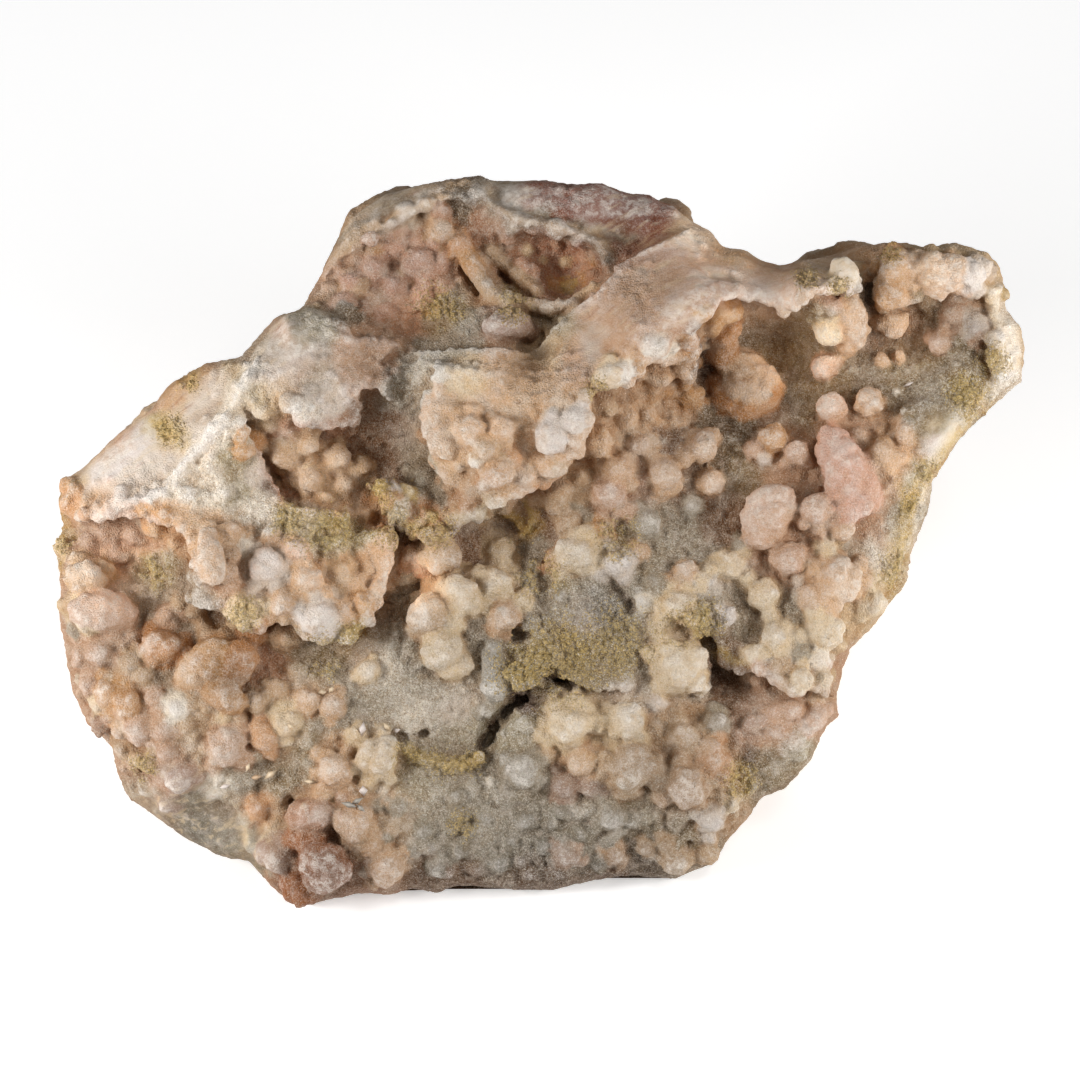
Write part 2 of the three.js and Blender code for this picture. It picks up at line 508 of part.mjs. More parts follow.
function makeBody() {

	const ball = new THREE.IcosahedronGeometry( 1, BODY_DETAIL );
	const { position } = ball.attributes;
	const direction = new THREE.Vector3();
	for ( let i = 0; i < position.count; i ++ ) {

		direction.fromBufferAttribute( position, i ).normalize();
		position.setXYZ( i, ...bodyPoint( direction ) );

	}

	return toSolid( ball );

}

function makeLump( [ a, b, radius ] ) {

	const lump = new THREE.IcosahedronGeometry( radius, radius >= FINE_LUMP ? 1 : 0 );
	lump.rotateX( a ); // the place in millimetres serves as radians, so that no two lie alike
	lump.rotateZ( b );
	const outA = a - FACE_CENTRE.a;
	const outB = b - FACE_CENTRE.b;
	const share = Math.hypot( outA, outB ) / rimReach( Math.atan2( outB, outA ) );
	lump.translate( ...toWorld( a, b, faceHeight( a, b, share ) + LUMP_RISE * radius ) );
	return toSolid( lump );

}

// A big block whose near side is the plane at `reach` from the origin, facing back at it.
function makeBreak( { towards, reach } ) {

	const size = 300;
	const out = new THREE.Vector3( ...towards ).normalize();
	const block = new THREE.BoxGeometry( size, size, size );
	block.translate( 0, 0, size / 2 + reach );
	block.applyQuaternion( new THREE.Quaternion().setFromUnitVectors( new THREE.Vector3( 0, 0, 1 ), out ) );
	return toSolid( block );

}

function makeSpecimen() {

	const underside = makeBreak( { towards: [ 0, 0, - 1 ], reach: 0 } );
	const grown = LUMPS.reduce( ( solid, lump ) => solid.add( makeLump( lump ) ), makeBody() );
	const broken = BREAKS.reduce( ( solid, cut ) => solid.subtract( makeBreak( cut ) ), grown );
	const mesh = new THREE.Mesh(
		toGeometry( broken.subtract( underside ) ),
		new THREE.MeshStandardMaterial( { color: 0xc8a587, roughness: 0.85, metalness: 0 } ),
	);
	mesh.name = 'specimen';
	return mesh;

}

const specimen = new THREE.Group();
specimen.add( makeSpecimen() );

export default specimen;
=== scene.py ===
"""Looks of the sulfur specimen: one loose stone with a lumpy, drusy crust dusted with sulfur.

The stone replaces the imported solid. Its face is laid out in the face frame, in millimetres:
a runs right, b up the face and c out of it. The ground is a smooth height over (a, b) with
ledges, creases and pits; lumps stand on it. Then the whole is fused, roughened, cut flat
underneath and given its colours as point attributes, and loose crystal grains are set on it.
"""
import itertools
import json
import logging
import math
from dataclasses import dataclass, field
from enum import Enum

import bpy
import numpy as np
from mathutils import Matrix, Vector

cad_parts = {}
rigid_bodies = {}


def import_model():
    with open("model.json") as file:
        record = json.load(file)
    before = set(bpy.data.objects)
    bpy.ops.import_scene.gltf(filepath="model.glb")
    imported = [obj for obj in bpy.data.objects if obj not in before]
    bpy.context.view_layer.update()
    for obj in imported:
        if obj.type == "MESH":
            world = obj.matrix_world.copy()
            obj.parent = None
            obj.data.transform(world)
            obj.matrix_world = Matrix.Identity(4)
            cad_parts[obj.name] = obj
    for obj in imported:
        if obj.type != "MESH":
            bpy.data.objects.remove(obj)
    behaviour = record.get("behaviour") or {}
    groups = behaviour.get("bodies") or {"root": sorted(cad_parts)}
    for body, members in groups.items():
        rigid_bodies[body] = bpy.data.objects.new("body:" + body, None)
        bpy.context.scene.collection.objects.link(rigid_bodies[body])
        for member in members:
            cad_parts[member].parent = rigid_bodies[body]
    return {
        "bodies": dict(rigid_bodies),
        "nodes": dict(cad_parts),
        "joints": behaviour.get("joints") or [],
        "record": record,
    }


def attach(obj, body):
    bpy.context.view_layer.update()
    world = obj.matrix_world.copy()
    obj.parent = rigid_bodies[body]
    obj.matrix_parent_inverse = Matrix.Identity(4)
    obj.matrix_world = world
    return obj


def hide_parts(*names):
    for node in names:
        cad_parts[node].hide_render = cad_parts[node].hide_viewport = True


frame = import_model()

LOG = logging.getLogger("specimen")
MM = 0.001
FACE_START = -12.0  # c above which a point belongs to the crusted face, in millimetres
Array = np.ndarray
Place = tuple[float, float]
Spot = tuple[float, float, float]


def srgb(red: int, green: int, blue: int) -> Spot:
    """Turns a display colour into the linear one that shaders use."""
    return tuple(((value / 255 + 0.055) / 1.055) ** 2.4 for value in (red, green, blue))


class Tint(Enum):
    """The colours of the crust, the druse and the bare matrix, with a painted glint and a painted shade
    for crevices among them.
    """

    PEACH = srgb(208, 172, 138)
    SALMON = srgb(184, 140, 112)
    ROSE = srgb(200, 164, 138)
    MAUVE = srgb(172, 142, 124)
    CREAM = srgb(222, 200, 168)
    WHITE = srgb(240, 232, 222)
    LILAC = srgb(220, 208, 200)
    GREY = srgb(158, 147, 130)
    SLATE = srgb(164, 157, 146)
    TAN = srgb(196, 166, 134)
    TAUPE = srgb(168, 150, 130)
    OLIVE = srgb(144, 124, 92)
    MOSS = srgb(118, 98, 72)
    PALE_OLIVE = srgb(170, 158, 132)
    YELLOW = srgb(202, 172, 106)
    OCHRE = srgb(196, 148, 96)
    ORANGE = srgb(204, 156, 114)
    BROWN = srgb(140, 106, 78)
    # painted shade for crevices and cracks
    DEEP = srgb(94, 66, 44)
    RUST = srgb(140, 86, 66)
    PINK = srgb(208, 164, 142)
    AMBER = srgb(186, 132, 80)
    BRICK = srgb(172, 108, 60)
    STONE = srgb(148, 138, 121)
    SULFUR = srgb(172, 152, 100)
    # painted glint: colour of the painted highlights on the finest grains
    GLINT = (1, 0.97, 0.92)


class Shade(Enum):
    """Factors that darken or warm a colour: some are the stone's own tone, and those for the flanks of
    lumps, the hollows, the finest grains and the gaps between clots are painted shade.
    """

    GRAIN = (0.42, 0.32, 0.22)
    # painted shade on the finest grains
    CHIP = (0.5, 0.4, 0.3)
    # painted shade in the gaps between clots of druse
    GAP = (0.46, 0.38, 0.28)
    STREAK = (0.64, 0.46, 0.38)
    # painted shade on the flanks of the lumps
    FLANK = (0.92, 0.85, 0.71)
    # painted shade in the hollows
    HOLLOW = (0.6, 0.49, 0.38)
    WARM = (0.92, 0.8, 0.66)
    TINGE = (0.9, 0.76, 0.54)


# ---------------------------------------------------------------- shape of the face


@dataclass(frozen=True)
class FaceFrame:
    """Where the crusted face lies in the part: it leans back from the low front edge.

    Attributes:
        lean: Angle of the face's outward axis above the ground.
        setback: Distance from the face's zero to the part's origin along Y, in millimetres.
    """

    lean: float = math.radians(50)
    setback: float = 45.0

    @property
    def out(self) -> Array:
        """The axis c, out of the face."""
        return np.array([0.0, -math.cos(self.lean), math.sin(self.lean)])

    @property
    def up(self) -> Array:
        """The axis b, up the face."""
        return np.array([0.0, math.sin(self.lean), math.cos(self.lean)])

    def to_part(self, a: Array, b: Array, c: Array) -> Array:
        """Turns face coordinates into points of the part, in millimetres."""
        a, b, c = np.broadcast_arrays(a, b, c)
        points = b[..., None] * self.up + c[..., None] * self.out
        points[..., 0] += a
        points[..., 1] -= self.setback
        return points

    def from_part(self, points: Array) -> tuple[Array, Array, Array]:
        """Turns points of the part, in millimetres, into face coordinates."""
        moved = points + np.array([0.0, self.setback, 0.0])
        return moved[:, 0], moved @ self.up, moved @ self.out


TIE_BREAK = 1e-6  # picks, of two legs that meet at the nearest point, the one more abreast of it


@dataclass(frozen=True)
class Line:
    """A line of points over the face, in millimetres, that fades out within reach of its ends."""

    points: tuple[Place, ...]
    end_reach: float = 2.0

    def steps(self, length: float) -> Array:
        """Points along the line, about a length apart, each with the unit vector to its left."""
        points = np.array(self.points, float)
        rows = []
        for start, end in zip(points[:-1], points[1:]):
            span = end - start
            size = np.hypot(*span)
            for share in np.arange(0, 1, length / size):
                rows.append((*(start + share * span), -span[1] / size, span[0] / size))
        return np.array(rows)

    def nearest(self, a: Array, b: Array) -> tuple[Array, Array, Array]:
        """Finds the nearest place on the line for each point.

        Args:
            a: Right coordinates of the points.
            b: Up coordinates of the points.

        Returns:
            The distance, the side (1 left of the way along, -1 right) and how near an end of
            the line is, from 0 to 1 within a short reach.
        """
        points = np.array(self.points, float)
        spans = np.diff(points, axis=0)
        lengths = np.hypot(spans[:, 0], spans[:, 1])
        walked = np.concatenate(([0.0], np.cumsum(lengths)))
        best = np.full(a.shape, np.inf)
        distance, side, along = np.zeros((3,) + a.shape)
        for start, span, length, before in zip(points, spans, lengths, walked):
            unit = span / length
            da = a - start[0]
            db = b - start[1]
            walk = np.clip(da * unit[0] + db * unit[1], 0, length)
            left = unit[0] * db - unit[1] * da
            away = np.hypot(da - walk * unit[0], db - walk * unit[1])
            score = away - TIE_BREAK * np.abs(left)
            closer = score < best
            best = np.where(closer, score, best)
            distance = np.where(closer, away, distance)
            side = np.where(closer, np.sign(left), side)
            along = np.where(closer, before + walk, along)
        return distance, side, smoothstep(np.minimum(along, walked[-1] - along), 0, self.end_reach)


def smoothstep(x: Array, low: float, high: float) -> Array:
    """Rises smoothly from 0 at low to 1 at high."""
    t = np.clip((x - low) / (high - low), 0, 1)
    return t * t * (3 - 2 * t)


@dataclass(frozen=True)
class Ledge:
    """A sharp step: the ground left of the line is higher by drop and falls back over fade.

    Attributes:
        drop: Height of the step, in millimetres.
        fade: How far behind the line the ground comes back, in millimetres.
        line: The upper edge.
        beads: Radius of the round beads that hang over the edge, or 0 for none.
        blur: Width over which the step rises, in millimetres.
    """

    drop: float
    fade: float
    line: Line
    beads: float = 0.0
    blur: float = 0.45

    def height(self, a: Array, b: Array) -> Array:
        """Height that the ledge adds at each point."""
        distance, side, inner = self.line.nearest(a, b)
        behind = side * distance
        step = smoothstep(behind, -self.blur / 2, self.blur / 2)
        return self.drop * step * np.exp(-((np.maximum(behind, 0) / self.fade) ** 2)) * inner


@dataclass(frozen=True)
class Crease:
    """A rib, or with a negative rise a cleft, along a line."""

    rise: float
    width: float
    line: Line

    def height(self, a: Array, b: Array) -> Array:
        """Height that the crease adds at each point."""
        distance, _, inner = self.line.nearest(a, b)
        return self.rise * np.exp(-((distance / self.width) ** 2)) * inner


@dataclass(frozen=True)
class Noise:
    """Smooth repeatable noise from -1 to 1 over space."""

    seed: int = 0

    def _lattice(self, x: Array, y: Array, z: Array) -> Array:
        mixed = x * 73856093 ^ y * 19349663 ^ z * 83492791 ^ (self.seed * 2654435761)
        mixed = (mixed ^ (mixed >> 13)) * 1274126177
        return ((mixed ^ (mixed >> 16)) & 0xFFFFFF) / 0x7FFFFF - 1.0

    def at(self, points: Array, size: float) -> Array:
        """Noise with waves of about the given size at each point."""
        cells = points / size
        base = np.floor(cells).astype(np.int64)
        part = cells - base
        part = part * part * (3 - 2 * part)
        total = np.zeros(len(points))
        for corner in itertools.product((0, 1), repeat=3):
            weight = np.prod(np.where(np.array(corner), part, 1 - part), axis=1)
            total += weight * self._lattice(*(base + corner).T)
        return total

    def layered(self, points: Array, size: float, layers: int = 3) -> Array:
        """Noise with finer and weaker layers added."""
        return sum(Noise(self.seed + k).at(points, size / 2**k) / 2**k for k in range(layers))


# Heights that the ground between the lumps meets: a, b, c.
HEIGHTS: tuple[Spot, ...] = (
    # left lobe and its shaded pocket
    (-71, 62, 4), (-71, 50, 6), (-69, 45, 8), (-70, 36, 5), (-63, 53, 1), (-58, 53, 6),
    (-66, 32, 6), (-58, 36, 8), (-64, 23, 4), (-57, 25, 8), (-60, 18, 4), (-60, 44, 5),
    # shoulder, its crest and the smooth hump beside it
    (-68, 66, 5), (-62, 70, 6), (-57, 78, 4), (-50, 81, 6), (-56, 64, 10), (-51, 72, 12),
    (-46, 79, 13), (-43, 85, 11), (-48, 66, 10), (-45, 62, 10), (-37, 86, 13), (-30, 89, 10),
    (-39, 80, 14), (-34, 77, 13), (-27, 84, 9),
    # hollow left of the nose
    (-43, 72, 6), (-39, 70, 6), (-40, 65, 2), (-36, 65, 5), (-34, 71, 4), (-28, 72.4, 3),
    (-24, 70, 2), (-29, 66, 3), (-31, 62, 5), (-24, 76.6, 6), (-19, 82, 9), (-18, 68, 4),
    (-20.6, 74, 5), (-26, 63, 4),
    # nose, and the brown lobe above it
    (-15, 78, 13), (-14, 70, 13), (-8, 76, 16), (0, 75, 17), (-9, 64, 13), (-2, 68, 14),
    (-5, 83, 14), (-6, 89, 9), (-1, 86, 4), (-11, 88, 7),
    # dome with its two hollows
    (-18, 89, 2), (-16, 93, 2), (-27, 97, 0), (-19, 99, -1), (-14, 105, 0), (-32, 95, 2),
    (-28, 105, 3), (-19, 110, 3), (-9, 110, 4), (-4, 103, 0), (3, 99, -3), (5, 95, -1),
    (1, 91, 5), (-3, 96, 0), (3, 108, 3), (13, 107, 2), (21, 105, 4), (12, 100, 4),
    # smooth ridge
    (6, 90, 11), (14, 95, 12), (24, 99, 11), (34, 97, 10), (44, 98, 9), (56, 101, 6), (68, 99, 5),
    (3, 82, 16), (10, 84, 17), (18, 90, 18), (25, 94, 17), (34, 94, 12), (43, 95, 11),
    # recessed basin under the ridge
    (24, 82, 0), (37, 88, -1), (33, 74, 3), (42, 80, 1), (50, 86, 1), (58, 88, -1),
    (66, 92, 2), (71, 92, 5), (73, 85, 5), (66, 83, 3), (60, 78, 5), (61, 73, 6), (68, 78, 3),
    (55, 74, 5), (52, 82, 2),
    # lumpy right side
    (14, 76, 7), (20, 73, 6), (13, 68, 7), (29, 68, 4), (24, 60, 5), (37, 63, 5), (46, 67, 6),
    (53, 66, 5), (56, 58, 4), (42, 56, 6), (32, 52, 6), (50, 51, 5), (43, 45, 7), (50, 45, 3),
    (44, 38, 6), (36, 41, 8), (29, 43, 8),
    # middle plate, its druse and the dark gap beside it
    (4, 64, 5), (-7, 57, 1), (-7, 51, 5), (5, 57, 7), (5, 51, 7), (6, 45, 8), (14, 46, 7),
    (6, 38, 9), (-4, 40, 8), (16, 37, 8), (22, 46, 9), (22, 36, 8), (27, 36, 2), (31, 33, 4),
    (37, 28, 7), (43, 29, 6), (37, 21, 5),
    # left ledge and what lies under it
    (-53, 53, 10), (-46, 55, 12), (-36, 56, 12), (-27, 56, 9), (-44, 49, 12), (-35, 48, 12),
    (-27, 50, 9), (-20, 47, 4), (-19, 55, 5), (-13, 53, 5), (-50, 41, 6), (-37, 40, 6),
    (-28, 40, 6), (-16, 42, 8), (-22, 36, 8), (-48, 34, 9), (-10, 36, 8),
    # lower slope
    (-36, 30, 8), (-24, 29, 8), (-11, 26, 6), (-4, 28, 9), (8, 28, 9), (-43, 24, 7),
    (-30, 22, 9), (-14, 19, 8), (2, 20, 8), (14, 23, 9), (24, 26, 7), (25, 18, 8), (14, 14, 7),
    (0, 12, 8), (-14, 10, 7), (-28, 12, 8), (-36, 7, 7), (-44, 13, 6), (-53, 14, 4),
    (-8, 5, 5), (10, 7, 5), (19, 8, 4), (28, 13, 5), (34, 19, 4),
)

# Outline of the face, seen square on: a, b.
RIM: tuple[Place, ...] = (
    (75.2, 86), (74.6, 90), (72.2, 92.4), (72.3, 95), (71.4, 99), (69.6, 101.2), (64.5, 102.7),
    (59.5, 102), (56, 102.8), (50, 102.5), (45, 100.7), (41, 100), (37.5, 99), (34.4, 99.9),
    (31.5, 101.7), (28.4, 102.1), (26, 105), (23.4, 106.2), (21, 108.3), (18.4, 109.2),
    (17.2, 110.3), (13.5, 110.5), (9, 112.2), (4.5, 111.9), (1, 112.5), (-7.5, 112.4),
    (-9.5, 113.3), (-17, 112.2), (-24.5, 110.2), (-29.5, 106.6), (-32, 102.5), (-33.6, 98.5),
    (-37.2, 92.3), (-41, 91.1), (-43.2, 88.6), (-46.3, 85), (-52, 84), (-57.5, 80.9), (-60.5, 76.8),
    (-66, 72.6), (-71, 67.8), (-74.6, 65.6), (-75, 62), (-74.2, 59), (-75.3, 55.5), (-74.6, 51),
    (-74.2, 48.6), (-74.5, 45), (-73.6, 39), (-72.6, 33), (-70.2, 28), (-68, 26), (-66.6, 24.4),
    (-65.5, 20), (-64.4, 17), (-59.5, 13.4), (-55, 10.2), (-49, 7.3), (-45, 6.7), (-41.8, 3),
    (-39.8, 1.3), (-36, -0.1), (-32.8, 0.9), (-28, 1.8), (-23, 1.6), (-20, 2.6), (-16, 2),
    (-12.6, 3), (-3, 2.3), (2, 2.3), (9, 4), (15, 4.5), (21, 3.9), (24.1, 5.4), (27, 6.2),
    (28.3, 8.6), (30.2, 11.2), (32.3, 13.2), (34.3, 16.6), (38, 17.9), (42, 22.4), (44.3, 27.6),
    (46.4, 29.3), (45.9, 32), (47.2, 36.7), (48.3, 39.7), (52, 43.3), (55, 47.6), (57, 50),
    (57.6, 54.5), (60.2, 61), (61, 65.6), (65, 72.2), (70, 77), (74.8, 81.3),
)

LEDGES: tuple[Ledge, ...] = (
    # right and lower edge of the nose, and the lip of the ridge over the basin
    Ledge(6.5, 10, Line((
        (-9.5, 61.6), (-6, 62.5), (-4.5, 63.8), (-3, 64), (-1.5, 64.5), (-0.5, 65.5), (1, 65.7),
        (2, 66.3), (3.5, 68), (4.5, 69.5), (5.5, 71), (6.8, 73), (7.3, 74.5), (7.2, 77), (8, 79),
        (10, 80.2), (13.5, 80.8), (15.3, 82.3), (15.8, 84.4), (18, 84.2),
        (20.5, 84.2), (21.5, 82), (22.6, 80.6), (23.4, 82.5), (24.2, 85), (24, 87.5), (23.4, 88.8),
        (24.2, 90), (25.6, 91.4), (26.6, 93), (28.5, 93.8), (31, 94.2), (33.2, 93.8), (36, 93.2),
        (37.5, 91.8), (39.5, 92.4), (40.5, 93.6), (43, 95.2), (46, 95.2), (49, 95.5), (50, 98.5),
    )), 0.9),
    # lip of the hanging lobe at the upper right
    Ledge(4.5, 6, Line((
        (50.5, 98.8), (52.2, 97.4), (52, 95), (52.4, 93.4), (53.8, 92.2), (55.2, 93.2), (57, 94),
        (59, 95), (61.5, 94.7), (63.5, 95.4), (66, 94.6), (67.6, 95.6), (68.6, 97.4),
    )), 0.9),
    # inner edge of the right rim
    Ledge(3, 5, Line((
        (68.4, 97), (69, 94.5), (70, 92), (70.4, 89.5), (70, 87), (69.4, 84.5), (70.4, 82),
        (71, 80),
    )), 0.7),
    # left edge of the nose
    Ledge(5, 7, Line((
        (-15.5, 85), (-16, 80), (-17.5, 79), (-18, 77.5), (-17.8, 76), (-17.2, 74), (-16.8, 72),
        (-16, 70), (-15.8, 68), (-14.8, 65.6),
    )), 0.7),
    # sulfur-fringed shelf under the nose
    Ledge(4.5, 5, Line((
        (-26.6, 65.7), (-26, 64.5), (-24.5, 63.5), (-24, 61), (-23.2, 59.8), (-21, 58), (-19, 57.3),
        (-17.5, 56.8), (-16.5, 55.3), (-15.5, 55.5), (-14.5, 57), (-12.5, 58.5), (-11, 59.7),
        (-9.5, 59.6), (-7, 60.5),
    )), 0.55),
    # rim between the shelf and the hollow
    Ledge(3, 4, Line(((-15.6, 64), (-17, 64.5), (-20.5, 65.3), (-23, 66), (-26.6, 65.8)))),
    # lower and right edge of the left ledge
    Ledge(6.5, 9, Line((
        (-55, 47.5), (-53, 47), (-50.5, 46.5), (-48, 46.2), (-47.3, 44.6), (-45.5, 43.4),
        (-43, 43.2), (-41.8, 44.8), (-40, 45), (-38, 44), (-36.8, 42.6), (-35, 41.8), (-32.5, 42),
        (-30.8, 42.6), (-29.5, 41), (-28, 42.5), (-27.5, 44), (-26, 44.2), (-25.5, 46), (-24.6, 48),
        (-24, 50), (-23.5, 52), (-23, 54.5), (-22.7, 57), (-23.4, 60),
    )), 0.9),
    # arch over the left pocket
    Ledge(4.5, 6, Line((
        (-73, 59.6), (-69, 60.4), (-66, 60.6), (-62, 60.2), (-58, 59.6), (-55.4, 58.6), (-54, 57),
        (-53, 54), (-52.5, 51), (-52, 48.6),
    )), 0.8),
    # overhanging lobe of the hump, and its right part above the hollow
    Ledge(3.6, 4.5, Line((
        (-40, 79.5), (-38.8, 77.4), (-37.4, 75.4), (-35, 74.2), (-33, 74), (-31, 74.4),
        (-28.8, 74.4), (-27.8, 75.6), (-28, 77.4), (-28.6, 79), (-27.6, 80.2), (-25, 80), (-24, 79),
        (-21, 78),
    ), 4.0), 0.6, 0.9),
    # left wall of the hollow
    Ledge(4, 6, Line((
        (-28, 60.4), (-32, 61), (-36, 61.2), (-38.5, 61.5), (-40.5, 63.5), (-41.5, 66), (-43, 69),
        (-45, 72), (-46, 77),
    )), 0.6),
    # banded shell round the left hollow of the dome
    Ledge(3, 5, Line((
        (-34, 96), (-31, 100), (-28, 101.5), (-25, 103.5), (-21.5, 105), (-19, 107.5), (-17, 109),
        (-14, 109.5), (-11.5, 109), (-10, 107.5),
    )), 0.0, 0.4),
    # banded shell round the right hollow of the dome
    Ledge(3, 4, Line((
        (-6, 102.5), (-3, 104.5), (0, 103.8), (4, 103.3), (7, 102), (9, 100.5), (9.8, 98.5),
        (9.3, 96.5), (7.5, 95), (5, 94), (2.5, 94), (1, 95), (0.5, 97), (-0.5, 98.5), (-2, 100),
        (-4, 101),
    )), 0.0, 0.4),
    # top of the hump, in front of the dome's left hollow
    Ledge(3, 5, Line((
        (-21, 85.5), (-21.5, 87), (-24, 88), (-28.7, 88), (-30, 90.5), (-36, 92.5), (-41, 91.5),
    ))),
    # ridge in front of the dome, top of the nose and of the pale saddle beside it
    Ledge(3, 5.5, Line((
        (24, 105), (20, 103), (16, 101.2), (12, 98.6), (10.5, 96.5), (9, 94.6), (7, 93.4),
        (4, 91.2), (2, 89), (1, 87.4), (0, 86.2), (-2, 85.2), (-4, 85.7), (-6, 86), (-10, 86),
        (-13, 86), (-16, 85.6), (-20.6, 85.6),
    ), 4.0), 0.3, 0.7),
    # plate beside the dark gap on the right
    Ledge(5, 6.5, Line((
        (21.5, 44), (24, 43.3), (26, 42.6), (27.4, 41.2), (28.2, 39), (28.2, 37.4), (30, 37),
        (31.5, 36.5), (34, 36.3), (35.5, 35.8), (36.8, 34.8), (37.4, 33.8), (39, 33.4),
        (41.5, 33.6), (44, 33), (46, 33.2),
    )), 0.8),
    # other wall of that gap
    Ledge(3.5, 5, Line((
        (24, 31.5), (26, 34), (26.2, 36.5), (25.4, 39), (24.2, 40.6), (22, 41.8),
    )), 0.6),
    # small pale step by the right rim
    Ledge(2.2, 4, Line((
        (61, 79.4), (58.5, 78.3), (57, 77.6), (55.8, 76.3), (55.1, 74.6), (55, 73), (55.8, 71.5),
        (57.5, 70.4),
    ))),
    # lower edge of the middle plate
    Ledge(2.4, 6, Line((
        (-6, 38), (-5, 35.4), (-3.5, 33.6), (-1.5, 33.6), (-0.4, 35), (0.8, 35.9), (3.2, 35.7),
        (5, 35.2), (7, 34.2), (9, 33.6), (12, 33.6), (15, 33.2),
    )), 0.5),
    # lumps over the bare matrix at the lower left
    Ledge(1.0, 4, Line((
        (-63, 17), (-57, 17.2), (-53, 17.8), (-50, 17.6), (-47.5, 16.5), (-45.5, 13), (-44.5, 9),
        (-42, 5),
    )), 0.8),
    # lobe beside the pink one, over the dark crack
    Ledge(2, 4, Line(((39, 57.4), (42, 58.2), (44.5, 58), (46, 56.9), (47, 55.5), (48.6, 56)))),
)

CREASES: tuple[Crease, ...] = (
    # main rib of the dome, with its clefts and lesser bands
    Crease(1.8, 2.2, Line((
        (-11, 101), (-10, 98.5), (-9, 97), (-8, 95.5), (-6.5, 94), (-5, 93), (-2, 92),
    ))),
    Crease(-3.5, 0.9, Line(((-12.5, 100), (-11, 97.5), (-9.5, 95), (-8, 93)))),
    Crease(-2.5, 0.9, Line(((-7, 98.7), (-5.4, 97.4), (-3.5, 96)))),
    Crease(1.5, 1.1, Line(((-4, 100), (-1.5, 98), (0, 95.5), (1.5, 93.8), (4, 93), (6.5, 93.3)))),
    Crease(1.0, 1.0, Line(((-6, 98.5), (-3, 96.5), (-1, 94), (1, 92), (4, 91.5)))),
    Crease(1.2, 1.0, Line((
        (-11, 110.5), (-9, 110), (-7, 108.5), (-4, 106.5), (0, 105), (4, 104.2), (7.5, 103.5),
        (9, 102), (9.8, 100.5), (10.4, 98),
    ))),
    Crease(-1.2, 0.6, Line((
        (-9, 111), (-6, 109), (-2, 107.5), (2, 106.5), (5, 105.5), (8, 104.2), (12, 103.5),
        (17, 103),
    ))),
    Crease(-0.9, 0.5, Line((
        (-8.5, 108.2), (-6, 106.1), (-2, 104.8), (2, 104.1), (6, 103), (8, 102), (9.2, 100.4),
    ))),
    Crease(-1.0, 0.6, Line(((-32, 100), (-26, 104.6), (-20, 108.4), (-14.6, 110.8), (-10, 111.4)))),
    Crease(-1.4, 0.7, Line(((-2, 91.6), (1, 90.6), (4, 91), (6.4, 93)))),
    # white crest of the shoulder
    Crease(2.0, 1.1, Line((
        (-43.5, 84.5), (-45.5, 80.5), (-47, 77.5), (-50, 74), (-53, 70.5), (-56, 66), (-58, 64.2),
        (-61, 63), (-65, 61.8), (-69, 60.9), (-72.5, 58.6),
    ))),
    Crease(1.2, 1.2, Line(((-46, 79), (-44, 77.4), (-42, 75.6)))),
    Crease(-2.5, 0.7, Line(((-46.4, 77), (-45, 74.4), (-43, 72.8)))),
    Crease(-2.5, 0.7, Line(((-41.5, 68), (-40.6, 66), (-39.8, 63.6)))),
    # yellow rib and the dark cracks round the middle plate
    Crease(2, 1.0, Line((
        (-24.4, 25.4), (-22, 24.8), (-20, 23.5), (-18, 22.8), (-16, 22.5), (-14, 22), (-12, 21.8),
        (-10, 22.8), (-8.6, 23.6),
    ))),
    Crease(-6, 1.0, Line((
        (-9.6, 23.6), (-8.2, 25), (-7.5, 26.5), (-6.6, 28.4), (-5.4, 30), (-4, 31.4), (-2, 32.3),
        (1, 32.7),
    ))),
    Crease(-4, 0.7, Line(((0.2, 35.2), (2, 35.9), (3.5, 35.4), (5, 34.6), (6.4, 34.5)))),
    Crease(-3, 0.4, Line(((-26.2, 26.1), (-23, 26.1), (-19.6, 26.6), (-16, 26.8)))),
    Crease(-2.5, 0.4, Line(((-35.4, 26.1), (-33, 26.4)))),
    Crease(-4, 1.6, Line(((-26, 44), (-22, 47), (-17, 50), (-12, 52.4), (-9.6, 54)))),
    Crease(-1.2, 0.6, Line(((10.4, 50.4), (12, 49.3), (13, 48), (14.4, 46), (15.3, 44.6)))),
    Crease(-3, 0.8, Line(((-6, 42.2), (-3.4, 42), (-1, 41.8)))),
    # lesser slits
    Crease(-1.8, 0.5, Line(((25, 97.3), (28.5, 97.2), (30.5, 96.4)))),
    Crease(-1.8, 0.5, Line(((55.6, 80), (57.6, 80.7)))),
    Crease(-3, 0.9, Line(((49.7, 98), (51, 96), (51, 92.6)))),
    Crease(-2, 0.5, Line(((-45.6, 18.2), (-43.6, 18.1), (-41.6, 19)))),
    Crease(-3, 1.0, Line(((-38.6, 18), (-38.3, 15.4), (-38.9, 13)))),
    Crease(-2.5, 0.9, Line(((-31.8, 12.2), (-30.6, 10.4), (-29.6, 8)))),
    Crease(-2, 0.8, Line(((38, 65), (41, 66.6), (43.6, 65), (44.6, 61.6)))),
)


